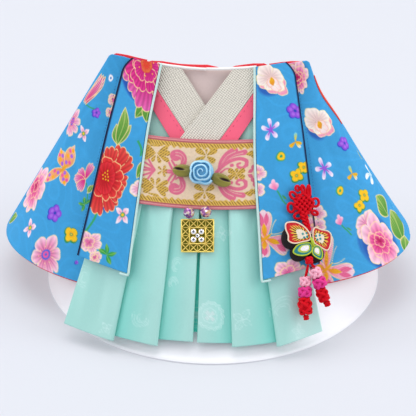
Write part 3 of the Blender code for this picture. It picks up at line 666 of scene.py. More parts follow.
# Columns: colour, width at the start and the end, corners of the line
scroll_lines = (
    (band_pink, 1, 0.8, ((-21.2, 0.2), (-23.4, 1.7), (-27.6, 3.6))),
    (band_pink, 1, 0.8, ((-21.4, 0.4), (-23, 2.7), (-24.8, 5.6))),
    (band_pink, 1, 0.8, ((-21.2, 0), (-24, 0.4), (-29, 1))),
    (band_pink, 1.1, 1, ((-11.6, 0.2), (-13.4, 1.6), (-15.6, 5.6))),
    (band_pink, 1, 0.9, ((-11.2, 0.5), (-12.2, 3), (-13.6, 5))),
    (band_pink, 1, 0.8, ((-11.8, 0), (-14.4, 0.5), (-16.8, 0.3))),
    (band_pink, 0.9, 0.7, ((-9, 0.8), (-9.8, 1.8), (-11.4, 3.2))),
    (band_pink, 1.8, 5, ((-9.2, 2.4), (-8.2, 4.8), (-8.8, 7), (-10.6, 8), (-12, 7.4))),
    (band_cream, 0.12, 0.25, ((-8.6, 4.2), (-7.9, 6.4), (-9.6, 8.4), (-12, 8.9))),
    (band_cream, 0.15, 0.3, ((-9.4, 5.4), (-9.6, 7), (-11.8, 7.6))),
    (band_pink, 1, 3.4, ((7.4, 2.2), (8.4, 5.6), (10.8, 8.6), (14, 10.4))),
    (band_pink, 1, 2.5, ((9.2, 4.4), (12.4, 7.6), (15.4, 9), (18.6, 9.6))),
    (band_cream, 0.15, 0.35, ((8.6, 5), (11, 8.2), (14.4, 10))),
    (band_cream, 0.15, 0.3, ((10.6, 5.6), (14, 8.2), (17.8, 9.3))),
    (band_pink, 1.6, 1.7, ((6.6, 0.8), (9, 3.4), (12.4, 5.8), (16.4, 6.8), (19.4, 5.8), (19.6, 3.8))),
    (band_pink, 1.5, 0.9, ((19.6, 4), (18.2, 2.7), (16.2, 3), (15.6, 4.2), (16.8, 4.8))),
    (band_pink, 0.9, 0.6, ((8.4, 0.6), (10.4, 2.2), (12.2, 2.4))),
    (band_pink, 1.5, 1.5, ((13, 3.9), (13.3, 3.9))),
)
for colour, width_start, width_end, corners in scroll_lines:
    curl(band_paint, u, mirrored, through(corners), width_start, width_end, colour)
for x, y, degrees in ((20.4, 0.4, 30), (22, 1.6, 65), (23.8, 1, 30), (23.2, 3.6, 75), (25.4, 3.2, 50),
        (25.6, 0.6, 20), (27.4, 2.6, 60)):
    petal(band_paint, u - x, mirrored - y, degrees, 2.8, 0.85, band_pink, band_pink * 1.06, pointed=True)


gold_mask = np.zeros((len(u), 4))


def gold_leaves(x, y, rows):
    """Gold leaves round a place, each given as direction, start, length and half width."""
    for degrees, start, length, width in rows:
        petal(gold_mask, u - x, mirrored - y, degrees, length, width, np.ones(3), np.ones(3), start=start,
            streaks=0)


gold_leaves(-20.6, 7.6, ((178, 0.2, 6.2, 1.5), (6, 0.2, 6, 1.5), (-28, 0.8, 5.8, 1.2), (206, 0.8, 5.6, 1.4),
    (152, 0.8, 5.2, 1.3), (34, 1, 5, 1.2), (-66, 1, 3.6, 1), (244, 1, 3.4, 0.9)))
gold_leaves(-21.4, 11, ((8, -2.8, 5.6, 0.7),))
gold_leaves(-17.6, 0, ((62, 0.2, 2.6, 0.6), (140, 0.2, 2.4, 0.55), (20, 0.2, 2.2, 0.5)))
gold_leaves(1.7, 8, ((36, 0.4, 5.2, 1.6), (146, 0.4, 5.2, 1.6), (-34, 0.4, 4.4, 1.5), (212, 0.4, 5, 1.5),
    (90, 0.8, 2.4, 0.6)))
gold_leaves(15.4, 0, ((28, 0.2, 3.9, 1.4), (152, 0.2, 4, 1.4), (90, 0.3, 2.3, 0.9)))
gold_leaves(21, 8.9, ((10, -1.9, 3.8, 1.4), (-40, 0, 2.6, 0.9)))
gold_leaves(25.8, 9, ((100, 0.2, 3.8, 1.6), (200, 0.2, 3, 1.3), (-60, 0.2, 3.6, 1.5), (20, 0.4, 4.4, 1.7)))
cover(band_paint, band_gold, gold_mask[:, 0], 0.4)
# The gold weft floats over the dark warp in short slanted stitches, drawn half as large again as real. The
# paler gold dashes along the rows of floats are a painted highlight.
stitch_pitch, stitch_row = 1.7, 0.95
along_stitch, across_stitch = u * 0.76 + v * 0.65, v * 0.76 - u * 0.65
row_shift = stitch_pitch * (0.4 * np.floor(across_stitch / stitch_row) + 0.16 * np.sin(1.3 * u + 2.1 * v))
in_row = np.abs((across_stitch / stitch_row) % 1 - 0.5)
in_stitch = np.abs(((along_stitch + row_shift) / stitch_pitch) % 1 - 0.5)
cover(band_paint, "#F0CC60", 0.8 * gold_mask[:, 0] * inside(0.34 - in_row, 0.08), 0.6)
cover(band_paint, band_dark_warp_and_shade, 0.72 * gold_mask[:, 0] * inside(in_row - 0.2, 0.09)
    * inside(in_stitch - 0.27, 0.09))
# The chain and the pink selvage along each edge. The chain's dark dashes are painted shade between its links,
# and its paler gold dashes painted highlights.
edge_in = 0.5 * (waist_top - waist_bottom) * slant - np.abs(v)
chain_start, chain_end, chain_pitch = 1.65, 3.9, 1.35
ragged = 0.35 * np.sin(u * tau / (2 * chain_pitch)) + 0.22 * np.sin(1.9 * u + 0.6)
chain = inside(edge_in - chain_end - ragged, 0.25)
cover(band_paint, band_gold * 1.06, chain)
rope = np.sin((u - 0.8 * edge_in * np.sign(v) + 0.3 * np.sin(0.9 * u)) * tau / chain_pitch)
halfway = inside(np.abs(edge_in - 0.5 * (chain_start + chain_end)) - 0.75, 0.5)
cover(band_paint, band_dark_warp_and_shade, 0.75 * chain * halfway * inside(0.55 - rope, 0.3))
cover(band_paint, "#EDCB62", 0.8 * chain * inside(rope + 0.5, 0.3), 0.6)
cover(band_paint, "#D4707C", inside(edge_in - chain_start))
cover(band_paint, "#963C40", 0.8 * inside(np.abs(edge_in - chain_start + 0.25) - 0.16, 0.12))
cover(band_paint, "#E8A49C", 0.9 * inside(np.abs(edge_in - 0.75) - 0.2, 0.15))
thread = 0.5 + 0.5 * np.cos(v * tau / 0.55)
band_paint[:, :3] *= (1 - 0.1 * thread)[:, None]

# Jacquard weave: pink and gilt wefts float over a cream ground, and the gilt glints
jacquard, tree, shader = finish("jacquard_ribbon", "#EBD2B4", 0.6, Sheen_Weight=0.2)
weave(tree, shader, 0.5, 0.5, painted(tree, shader, 0.6, 0.35), shade=0.1)
grid = front(across[None, :], down[:, None], lift_waistband)
colours = band_paint.reshape(len(down), len(across), 4)
waistband = place_on(cloth("waistband_ribbon", grid, jacquard, colours), "woven_ribbon", "waistband")


# The skirt: one long strip of mint jacquard satin folded into knife pleats, two on each side,
# which open to the middle. Hung from the waist, its lower edge hemmed.
skirt_top = 64.5
# Each half's folds from its free side to the middle. Columns: distance from the middle at the
# waist and at the hem, hem height at the fold, hem height where the next panel starts
pleats = {
    "left": ((43, 61, 8.4, 8.4), (26.8, 38.2, 6.6, 8.9), (12.9, 17.8, 7.3, 9.8), (1.5, 1.9, 9.9, 13.5)),
    "right": ((41.5, 56.8, 10.6, 10.6), (25.8, 37.9, 7.2, 9.2), (13.2, 17.9, 8.1, 9.5),
        (1.6, 2.2, 9.7, 13.5)),
}
fold_radius = 0.65


def half_skirt(name, share):
    """Half the folded strip: corner points (across, level, height, painted shade) and cells between."""
    side = -1 if name == "left" else 1
    underlap = 3.2 + 1.4 * share
    folds = [(a + (b - a) * share, skirt_top + (c - skirt_top) * share,
        skirt_top + (d - skirt_top) * share) for a, b, c, d in pleats[name]]
    level, start, start_z = -1.6, folds[0][0], folds[0][1]
    points, cells = [(start, level, start_z, 0.3)], []
    bends = np.linspace(0, pi, 9)[1:]
    for place, fold_z, next_z in folds[1:]:
        points.append((place, -0.5, fold_z, 0))
        cells.append(40)
        back_place = place + underlap
        back_level = -0.5 - (-0.5 - level) / (start - place) * underlap
        for bend in bends:
            points.append((place - fold_radius * sin(bend), -0.5 - fold_radius * (1 - cos(bend)), fold_z,
                0.06 + 0.5 * bend / pi))
            cells.append(1)
        points.append((back_place, back_level - 2 * fold_radius, next_z, 1.3))
        cells.append(6)
        for bend in bends:
            points.append((back_place + fold_radius * sin(bend), back_level - fold_radius * (3 - cos(bend)),
                next_z, 1.3))
            cells.append(1)
        start, start_z, level = back_place, next_z, back_level - 4 * fold_radius
    points.append((start - underlap, level, start_z, 1))
    cells.append(6)
    return np.array([(side * a, b, c, d) for a, b, c, d in points]), cells


def refine(points, cells):
    """More points along the stretches between corner points."""
    fine = [points[:1]]
    for start, end, count in zip(points[:-1], points[1:], cells):
        fine.append(np.linspace(start, end, count + 1)[1:])
    return np.concatenate(fine)


def creases(x, z, lines):
    """Lift of soft creases, ridges above zero and hollows below, that fade towards their ends."""
    lift = np.zeros(np.broadcast(x, z).shape)
    for x0, z0, x1, z1, height, width in lines:
        run, rise = x1 - x0, (z1 - z0) * slant
        length = hypot(run, rise)
        along = ((x - x0) * run + (z - z0) * slant * rise) / length ** 2
        off = ((x - x0) * rise - (z - z0) * slant * run) / length
        lift += height * np.exp(-(off / width) ** 2) * np.sin(pi * np.clip(along, 0, 1))
    return lift


# Columns: start across and height, end across and height, lift, half width
skirt_creases = (
    (-53, 8, -47, 42, 0.7, 3), (-46, 8, -41, 34, -0.5, 2.4), (-33, 6, -27, 40, 0.6, 3.2),
    (-24, 6, -21, 26, -0.5, 2.4), (-13, 8, -8, 46, 0.5, 3), (-6, 8, -5, 26, -0.4, 2),
    (9, 6, 6, 44, 0.5, 3), (14, 8, 12, 28, -0.4, 2), (26, 6, 20, 42, 0.6, 3.4),
    (33, 8, 30, 26, -0.5, 2.4), (45, 8, 37, 40, 0.7, 3.2), (53, 10, 47, 30, -0.5, 2.6),
    (-24, 62, -20, 44, 0.5, 2.2), (-12, 62, -14, 48, 0.4, 1.8), (16, 62, 18, 46, 0.5, 2),
    (24, 62, 23, 50, -0.3, 1.6),
)
skirt_rows, skirt_shades = [], []
for share in np.linspace(0, 1, 150):
    section = np.concatenate([refine(*half_skirt("left", share))[:-6],
        refine(*half_skirt("right", share))[::-1][6:]])
    heading = unit(np.gradient(section[:, :2], axis=0))
    outer = section[:, :2] + 0.5 * np.stack([-heading[:, 1], heading[:, 0]], -1)
    lift = outer[:, 1] + creases(outer[:, 0], section[:, 2], skirt_creases)
    skirt_rows.append(front(outer[:, 0], section[:, 2], lift))
    skirt_shades.append(section[:, 3])
skirt_grid, shade = np.array(skirt_rows), np.array(skirt_shades)
mint_light, mint_painted_shade, mint_gap_painted_shade, figure_painted_sheen = map(srgb, ("#A4D6CC", "#74D0C2", "#30DCC4", "#D0EEE8"))


def woven_flower(paint, u, v, r):
    """A round flower woven in outline, with a cross of petals in a scalloped ring."""
    distance, angle = np.hypot(u, v), np.arctan2(v, u)
    for reach, count, ripple in ((r, 14, 0.05), (0.86 * r, 14, 0.05), (0.52 * r, 8, 0.03)):
        edge = reach * (1 + ripple * np.cos(count * angle))
        cover(paint, figure_painted_sheen, 0.8 * inside(np.abs(distance - edge) - 0.14), 0.8)
    for degrees in (45, 135, 225, 315):
        petal(paint, u, v, degrees, 0.42 * r, 0.2 * r, figure_painted_sheen, figure_painted_sheen * 0.97)
    cover(paint, figure_painted_sheen, 0.25 * inside(distance - r), 0.3)


def woven_leaves(paint, u, v, r):
    """Two crossed pairs of leaves, each woven as an outline with a vein."""
    for degrees, length in ((40, 1), (128, 0.9), (215, 1), (310, 0.8)):
        along, across = turned_by(u, v, degrees)
        share = np.clip(along / (length * r), 0, 1)
        distance = np.maximum(np.abs(across) - 0.26 * r * np.sin(pi * share),
            np.maximum(-along, along - length * r))
        cover(paint, figure_painted_sheen, 0.7 * inside(np.abs(distance) - 0.13), 0.8)
        cover(paint, figure_painted_sheen, 0.6 * inside(np.abs(across) - 0.08) * inside(distance), 0.8)


def woven_swirl(paint, u, v, r):
    """A swirling leaf of curved lines."""
    for scale, start in ((1, 20), (0.78, 40), (0.56, 10), (0.34, 60)):
        turn = np.radians(np.linspace(start, start + 190, 40))
        radius = np.linspace(scale * r, 0.7 * scale * r, 40)
        off = np.hypot(u[:, None] - radius * np.cos(turn), (v / 1.3)[:, None] - radius * np.sin(turn))
        distance = np.min(off, axis=1)
        cover(paint, figure_painted_sheen, 0.6 * inside(distance - 0.14), 0.8)


# Columns: motif, place across, height, size, turn
skirt_motifs = (
    (woven_flower, 6.7, 19.5, 6.2, 0), (woven_leaves, 21, 17.9, 5.6, 10), (woven_swirl, 38, 20, 6.4, -20),
    (woven_leaves, 10.4, 50, 4, -30), (woven_swirl, -9.6, 37.4, 3.2, 40), (woven_swirl, -52, 27, 5, 70),
    (woven_swirl, -24, 16.6, 4.4, 120), (woven_leaves, -40.6, 10.4, 3.4, 0),
    (woven_swirl, -11.4, 30.6, 2.8, 0), (woven_leaves, 28, 44, 3.6, 60), (woven_swirl, -30, 45, 3.4, 10),
    (woven_leaves, 46, 12, 3.6, 30),
)
# Painted shade: each panel turns deeper teal towards where it runs under the next fold, the gaps between
# folds are deep teal, and near the waist the panels are painted paler and less shaded, a painted light
ground = np.zeros((shade.size, 4))
flat_shade = shade.reshape(-1)
height = np.repeat(np.linspace(1, 0, len(skirt_rows)), shade.shape[1])
ground[:, :3] = blend(mint_light * (1 + 0.1 * height[:, None] ** 2), mint_painted_shade,
    np.clip(flat_shade * (1 - 0.55 * height ** 2), 0, 1) ** 1.6)
ground[:, :3] = np.where(flat_shade[:, None] > 1.05, mint_gap_painted_shade, ground[:, :3])
# Painted sheen: the last fold on the right turns its floats to the light, so its satin is painted paler
painted_sheen_share = np.clip((skirt_grid[..., 0].reshape(-1) - 40) / 6, 0, 1)
ground[:, :3] = blend(ground[:, :3], "#CDEDE6", 0.6 * painted_sheen_share)
colours = paint_cloth(skirt_grid, skirt_motifs, lambda x, z: front(x, z, -0.6), ground)
# Damask satin: the figures are floats turned the other way, seen only as a paler sheen. Their places follow
# the woven pattern; their paler colour is a painted sheen, and they are made smoother
skirt_satin, tree, shader = finish("skirt_jacquard_satin", "#A8DCD2", 0.36, Sheen_Weight=0.25)
weave(tree, shader, 0.45, 0.08, painted(tree, shader, 0.42, 0.2, metallic=0), shade=0.02)
skirt = place_on(cloth("skirt_satin", skirt_grid, skirt_satin, colours), "mint_satin", "skirt")


# The jacket: two fronts, two bell sleeves and a back of blue printed cotton, lined in red
# cotton that shows as a thin line at the neck and hem. Mint satin piping edges the fronts.
sleeve_depths, back_depths = (3.6, 58), (9, 68)   # at the neck and at the hem
hem_z, hem_tilt, right_flare, back_neck_z = 22.5, 0.022, 2.2, 98.5
lining_lift, lining_peek, side_gap = -1.5, 0.7, 0.18
front_seam = (radians(39), radians(33))   # the sleeve's edge by the front
sleeve_run = 72   # millimetres across the sleeve for each radian of its turn, on average
# Columns as for the skirt's creases; across is sleeve_run times the turn from the front
jacket_creases = (
    (-96, 104, -84, 40, 0.8, 5), (-76, 92, -62, 30, -0.5, 4), (-58, 100, -50, 48, 0.5, 4),
    (-104, 60, -98, 22, -0.7, 5), (60, 104, 56, 44, 0.5, 4), (78, 96, 68, 30, -0.5, 4.5),
    (94, 100, 86, 40, 0.7, 5), (106, 58, 98, 22, -0.6, 5), (150, 104, 140, 24, 0.9, 7),
    (176, 92, 180, 22, -0.8, 7), (206, 96, 212, 24, 0.9, 7), (-150, 90, -146, 22, -0.7, 7),
    (-184, 100, -180, 40, 0.8, 6), (240, 96, 252, 22, -0.7, 7), (282, 96, 276, 24, 0.8, 7),
)


def flared(z, neck, hem):
    """A size that grows evenly from the neck to the hem, at height z."""
    return neck + (hem - neck) * ((shoulder_z - z) / (shoulder_z - hem_z))


def half_width_at(z):
    """Half the jacket's width at a height, without its creases."""
    return flared(z, neck_half_width, hem_half_width)


def cape(angle, z, lift=0):
    """Points of the flared jacket: 0 in front, a quarter turn at the viewer's right side."""
    angle, z, lift = np.broadcast_arrays(np.asarray(angle, dtype=float), z, lift)
    lift = lift + creases(sleeve_run * angle, z, jacket_creases)
    fall = (shoulder_z - z) / (shoulder_z - hem_z)
    half_width = half_width_at(z) + lift
    half_width = half_width + right_flare * ((2 * fall - 1) ** 2 - 0.45) * np.maximum(0, np.sin(angle))
    half_width = half_width - 2.4 * np.exp(-((fall - 0.17) / 0.12) ** 2) * np.maximum(0, np.sin(angle)) ** 3
    depth = np.where(np.cos(angle) > 0, flared(z, *sleeve_depths), flared(z, *back_depths))
    return np.stack([half_width * np.sin(angle), -(depth + lift) * np.cos(angle), z], -1)


def drop(top, bottom, rows):
    """Heights down a panel, row by row, from its upper to its lower edge."""
    return top + (bottom - top) * np.linspace(0, 1, rows)[:, None]


def sleeve_grid(side, rows, columns, lift, top_peek=0, hem_peek=0, tuck=1.2):
    """A bell sleeve's grid. The left sleeve's columns run from its side seam to the front."""
    share = np.linspace(0, 1, columns)
    x = neck_half_width * np.sin(front_seam[0] + (pi / 2 - front_seam[0]) * share)
    corner = np.maximum(0, (share - 0.8) / 0.2)
    tucked = np.maximum(0, (0.4 - share) / 0.4)
    top = neck_z(x) - 1.2 * corner ** 2 - tuck * tucked + top_peek
    bottom = hem_z + hem_tilt * side * 0.8 * hem_half_width - hem_peek
    z = drop(top, bottom, rows)
    inner = flared(z, *front_seam)
    seam = pi / 2 - np.arcsin(side_gap / flared(z, *sleeve_depths))
    grid = cape(side * (inner + (seam - inner) * share[None, :]), z, lift)
    return grid if side > 0 else grid[:, ::-1]


def back_grid(rows, columns, lift, top_peek=0, hem_peek=0):
    """The back's grid, from the viewer's right side seam round to the left one."""
    share = np.linspace(0, 1, columns)
    side = np.cos(pi * share)
    top = back_neck_z + (shoulder_z - 1.2 - back_neck_z) * np.abs(side) ** 3 - top_peek
    bottom = hem_z + hem_tilt * hem_half_width * side - hem_peek
    z = drop(top, bottom, rows)
    seam = pi / 2 + np.arcsin(side_gap / flared(z, *back_depths))
    return cape(seam + (tau - 2 * seam) * share[None, :], z, lift)


def tube_shape(path, radius, sides=12):
    """Points, faces and chart of a cord along a path, its ends rounded."""
    path = np.asarray(path, dtype=float)
    radius = np.broadcast_to(np.asarray(radius, dtype=float), (len(path),))
    first, last = unit(path[0] - path[1]), unit(path[-1] - path[-2])
    start = [path[0] + first * radius[0] * out for out in (0.62, 0.56, 0.38)]
    end = [path[-1] + last * radius[-1] * out for out in (0.38, 0.56, 0.62)]
    path = np.concatenate([start, path, end])
    radius = np.concatenate([radius[0] * np.array((0, 0.45, 0.82)), radius,
        radius[-1] * np.array((0.82, 0.45, 0))])
    heading = unit(np.gradient(path, axis=0))
    length = np.concatenate([[0], np.linalg.norm(np.diff(path, axis=0), axis=1).cumsum()])
    normal = unit(np.cross(heading[0], (0.31, 0.52, 0.8)))
    turn = round_turns(sides)
    rings, chart = [], []
    for point, along, reach, place in zip(path, heading, radius, length):
        normal = unit(normal - along * normal.dot(along))
        side = np.cross(along, normal)
        rings.append(point + reach * (np.cos(turn)[:, None] * normal + np.sin(turn)[:, None] * side))
        chart.append(np.stack([radius.max() * turn, np.full(sides, place)], -1))
    return (np.concatenate(rings), grid_faces(len(rings), sides, around=True)[:, ::-1], np.concatenate(chart))


def joined(name, shapes, skin, colours=None):
    """One mesh of several shapes, each given as points, faces and chart."""
    before = np.cumsum([0] + [len(points) for points, _, _ in shapes[:-1]])
    return add_mesh(name, np.concatenate([points for points, _, _ in shapes]),
        np.concatenate([faces + start for (_, faces, _), start in zip(shapes, before)]), skin,
        uv=np.concatenate([chart for _, _, chart in shapes]), colours=colours)


# Columns: side, inner edge at the neck and hem, outer edge at the neck and hem, hem heights at
# the inner and outer edge
jacket_fronts = {
    "left": (-1, 21.4, 31.2, 37, 54.6, 32.6, 35.2),
    "right": (1, 22, 29.2, 38.6, 53.4, 32.6, 36),
}


def front_edges(name, rows):
    """Inner and outer edges (x, z) of a jacket front."""
    side, inner_neck, inner_hem, outer_neck, outer_hem, hem_inner_z, hem_outer_z = jacket_fronts[name]
    share = np.linspace(0, 1, rows)
    inner_z = neck_z(inner_neck) + (hem_inner_z - neck_z(inner_neck)) * share
    outer_z = neck_z(outer_neck) + (hem_outer_z - neck_z(outer_neck)) * share
    rounding = np.maximum(0, 1 - (neck_z(outer_neck) - outer_z) / 6)
    bow = -side * 1.1 * np.sin(pi * share) + 0.2 * np.sin(9 * share + side)
    inner = np.stack([side * (inner_neck + (inner_hem - inner_neck) * share + bow), inner_z], -1)
    outer = np.stack([side * (outer_neck + (outer_hem - outer_neck) * share - 3.2 * rounding ** 2),
        outer_z], -1)
    return inner, outer


front_creases = (
    (-30, 106, -33, 78, 0.25, 2.4), (-44, 96, -48, 60, 0.3, 3), (-38, 60, -42, 36, -0.25, 2.6),
    (30, 104, 33, 74, 0.25, 2.4), (40, 78, 46, 50, -0.25, 3), (36, 60, 38, 36, 0.3, 2.6),
)


def front_lift(x, z):
    """Outer face of the jacket fronts, which step out over the waistband and are softly creased."""
    return 1.3 + 1.3 * np.clip((neck_front_z - z) / (neck_front_z - 88), 0, 1) + creases(x, z, front_creases)


def down_front(x, down):
    """A place on a jacket front, from its distances across and down the slope from the neck."""
    z = neck_front_z - down / slant
    return front(x, z, front_lift(x, z))


# The print: peonies, small blossoms, buds, leaves and butterflies outlined in gold on blue.
# Each motif is drawn here by a rule, in millimetres on the flat cloth, then laid on its place.
print_blue, white = srgb("#3C9BD1"), srgb("#FBF6F6")
leaf_green, stem_green, orange, yellow = "#6FB43C", "#37A066", "#F0962A", "#F8C41E"
magenta, pink, rose_red = "#D81868", "#F07CAE", "#E02C2A"
leaf_shades = {"inner": "#58A43A", "outer": "#A6CC62", "rim": line_gold, "vein": "#E2DA90", "streaks": 0.3}


def layered(paint, u, v, r, layers, rim=line_gold, lobes=3):
    """Broad petals in layers from the outer one in: count, reach, half angle, turn, two colours."""
    for count, reach, half, turn, inner, outer in layers:
        for step in range(count):
            degrees = turn + 360 * step / count + 9 * sin(2.3 * step + turn)
            long = reach * r * (1 + 0.1 * sin(1.9 * step + turn))
            fan(paint, u, v, degrees, long, half, inner, outer, rim, lobes)


def ruffled(paint, u, v, reach, lobes, depth, turn, inner, outer, rim=line_gold, streaks=0.2):
    """A blossom, or one layer of it: ragged petals of uneven width, streaked from the heart."""
    distance, angle = np.hypot(u, v), np.arctan2(v, u)
    uneven = angle + 0.24 * np.sin(angle + turn) + 0.1 * np.sin(2 * angle + 2.3 * turn)
    scallop = np.abs(np.cos(0.5 * lobes * uneven + turn))
    ragged = 0.1 * np.sin(2 * angle + 5 * turn) + 0.035 * np.sin(9 * angle + turn) * scallop
    edge = reach * (1 - depth * (1 - scallop ** 0.55) + ragged)
    outside, share = distance - edge, distance / np.maximum(edge, 0.1)
    streak = 1 - streaks * (0.5 + 0.5 * np.sin(19 * uneven)) * np.clip(1.3 - share, 0, 1)
    cover(paint, rim, inside(outside - 0.2), 0.6)
    cover(paint, blend(inner, outer, share ** 1.7) * streak[:, None], inside(outside + 0.16))
    notch = inside(distance * scallop / (0.5 * lobes) - 0.1) * inside(0.5 - share, 0.1)
    cover(paint, rim, 0.85 * notch * inside(outside), 0.6)


def blossom(paint, u, v, r, *rows):
    """Ruffled layers from the outer one in. Columns of rows: shift across and up and reach, all
    over r, lobes, their depth, turn, and the colours within, outside and, if given, of the rim."""
    for across, up, reach, *look in rows:
        ruffled(paint, u - across * r, v - up * r, reach * r, *look)


def shadow(paint, u, v, r, amount=0.75):
    """The dark blue that the print lays under a flower's lower left side."""
    cover(paint, "#1F3A9A", amount * inside(np.hypot(u + 0.05 * r + 0.3, v + 0.05 * r + 0.4) - 0.88 * r, 0.8))


def peony(paint, u, v, r):
    """A magenta peony that hangs down: long petals below, short ones at the sides."""
    u = 1.4 * u
    shadow(paint, u, v, r)
    dark, light, tips = "#BE1468", "#EE3C96", "#F272BC"
    layered(paint, u, v, r, ((8, 1, 34, 15, dark, tips), (7, 0.72, 38, 40, dark, light),
        (5, 0.46, 46, 10, dark, light)))
    layered(paint, u, v - 0.02 * r, r, ((6, 0.2, 40, 0, rose_red, "#F08A4A"),), "#D8502A", 1)
    ring_of(paint, u, v, 6, 0.27 * r, 0.35, yellow, 0.4)


def red_peony(paint, u, v, r):
    """A red peony whose inner flower is framed in gold, with yellow stamens."""
    u = 1.3 * u
    shadow(paint, u, v, r)
    dark, tips = "#C4101C", "#F2564A"
    layered(paint, u, v, r, ((11, 1, 24, 5, dark, tips),))
    blossom(paint, u, v, r, (0.03, 0, 0.64, 9, 0.16, 0.4, "#B40C1A", "#EE3E3A"),
        (0, 0, 0.44, 6, 0.1, 2, "#C8141E", "#E4303A", "#C01420"))
    for x, y in ((0, 0), (1.2, 0.3), (-1.2, 0.2), (0.5, 1.1), (-0.7, 1.2), (0.6, -0.9), (-0.6, -1),
            (0.1, 2.2), (1.7, -0.9)):
        dot(paint, u, v, 1.5 * x, 0.04 * r + 1.25 * y, 0.4, yellow)


def cream_flower(paint, u, v, r):
    """An upright cream flower with ruffled petals, pink along its foot, and an orange heart."""
    shadow(paint, u, v + 0.2 * r, 0.9 * r, 0.6)
    lean = u + 0.25 * v
    rim = "#F3E6B4"
    blossom(paint, lean, v, r, (0.1, -0.12, 0.96, 5, 0.18, 1.9, "#F2E2DA", "#F088AC", rim, 0.06),
        (0, 0.14, 0.96, 5, 0.22, 1.9, "#E8C6C0", "#FBF3EA", rim, 0.1),
        (0.14, -0.34, 0.46, 4, 0.2, 0.8, "#FBEFE6", "#F6D4D6", "#EFBBA6", 0.06))
    petal(paint, u - 0.06 * r, v, 106, 0.62 * r, 0.18 * r, orange, yellow, start=-0.46 * r, pointed=True)


def ring_flower(paint, u, v, r):
    shadow(paint, u, v, r, 0.3)
    ruffled(paint, u, v, r, 7, 0.34, 0.7, "#E86CA2", "#FAD6E4")
    ring_of(paint, u, v, 9, 0.44 * r, 0.28, line_gold)
    discs(paint, u, v, r, (0.27, "#4A62CC"), (0.18, "#E2559A"), (0.07, "#4A62CC"))


def carnation(paint, u, v, r):
    blossom(paint, u, v, r, (0, 0, 1, 5, 0.3, 0.3, "#F284AE", "#FFE2EA"),
        (-0.1, 0, 0.5, 4, 0.3, 1.4, "#E4609A", "#F7B4CE"))


def purple_daisy(paint, u, v, r):
    ring_of(paint, u + 0.3, v + 0.15, 5, 0.54 * r, 0.46 * r, "#3446BC", 0.3)
    ring_of(paint, u, v, 5, 0.52 * r, 0.4 * r, "#8C4CD0", 0.3)
    ring_of(paint, u, v, 5, 0.5 * r, 0.2 * r, "#A466DC", 0.3)
    discs(paint, u, v, r, (0.3, "#8C4CD0"), (0.17, "#3040B0"))


def four_petals(paint, u, v, r):
    for degrees in (35, 125, 215, 305):
        petal(paint, 1.2 * u, v, degrees, r, 0.28 * r, "#F4A8C0", white, pointed=True, streaks=0)
        petal(paint, 1.2 * u, v, degrees, 0.5 * r, 0.08 * r, pink, white, start=0.2 * r, pointed=True)
    discs(paint, u, v, r, (0.24, stem_green), (0.14, yellow))


def star_flower(paint, u, v, r, heart=purple):
    u = 1.2 * u
    for step in range(5):
        petal(paint, u, v, 90 + 72 * step, r, 0.26 * r, 0.6 * heart + 0.4 * white, white, start=0.05 * r,
            streaks=0)
        petal(paint, u, v, 90 + 72 * step, 0.5 * r, 0.06 * r, heart, heart, start=0.05 * r, pointed=True)
    ring_of(paint, u, v, 5, 0.15 * r, 0.11 * r, heart, 0.3)


def white_flower(paint, u, v, r):
    star_flower(paint, 0.6 * u, v, r, srgb("#BFE0EE"))


def yellow_blossom(paint, u, v, r):
    ring_of(paint, u + 0.25, v + 0.2, 4, 0.54 * r, 0.56 * r, "#2F8E4E", 0.6)
    ring_of(paint, u, v, 4, 0.52 * r, 0.44 * r, yellow, 0.6)
    discs(paint, u, v, r, (0.36, "#F2AE1A"), (0.2, stem_green), (0.1, yellow))


def yellow_sprig(paint, u, v, r):
    petal(paint, u, v, 80, 0.9 * r, 0.22 * r, yellow, "#6FCBE6", streaks=0)
    petal(paint, u, v, 205, 0.85 * r, 0.24 * r, "#F0A818", yellow)
    petal(paint, u, v, 290, 0.9 * r, 0.2 * r, yellow, white)
    petal(paint, u, v, 318, 0.8 * r, 0.18 * r, "#F0A818", yellow)


def ring(paint, u, v, r, colour=yellow, edge=stem_green, hole=stem_green):
    dot(paint, u, v, -0.1 * r, 0, 1.08 * r, edge)
    discs(paint, u, v, r, (0.85, colour), (0.32, hole))


def white_ring(paint, u, v, r):
    ring(paint, 1.4 * u, v, r, white, "#5FA8E0", "#2F7CC4")


def bud(paint, u, v, r):
    stroke(paint, u, v, ((0.1 * r, -0.1 * r), (0.95 * r, -1.9 * r)), -0.35, 0.7, stem_green)
    petal(paint, u, v, -50, 0.8 * r, 0.14 * r, stem_green, leaf_green, start=0.9 * r, pointed=True)
    petals(paint, u, v, r, ((120, 1.1, 0.32), (64, 1, 0.32), (92, 1.4, 0.32)), "#EA6CA2", "#FBD6E4",
        streaks=0)


def long_bud(paint, u, v, r):
    stroke(paint, u, v, ((0.1 * r, -0.9 * r), (0.95 * r, -0.75 * r)), -0.9, 0.6, stem_green)
    petals(paint, u, v, r, ((99, 1.95, 0.26), (81, 1.95, 0.26), (90, 1.95, 0.2)), "#EE4C94", "#FBC8DC",
        line_gold, start=-0.95 * r, pointed=True, vein=magenta, streaks=0.25)


def bell(paint, u, v, r):
    """A fuchsia in profile: one petal up, three to the left, on a green stem."""
    stroke(paint, u, v, ((0.4 * r, -0.2 * r), (0.75 * r, -1.3 * r)), 0.3, 0.6, stem_green)
    petals(paint, u - 0.3 * r, v, r, ((150, 0.85, 0.36), (84, 1.2, 0.34), (196, 1, 0.36),
        (240, 1.05, 0.38)), "#EA2488", "#FBC0DA", line_gold, frill=0.08, streaks=0.2)


def leaf(paint, u, v, r):
    """A green leaf with gold veins and edge."""
    petal(paint, u, v, 90, 2 * r, 0.46 * r, start=-r, pointed=True, **leaf_shades)


def broad_leaf(paint, u, v, r):
    leaf(paint, 0.5 * u, v, r)


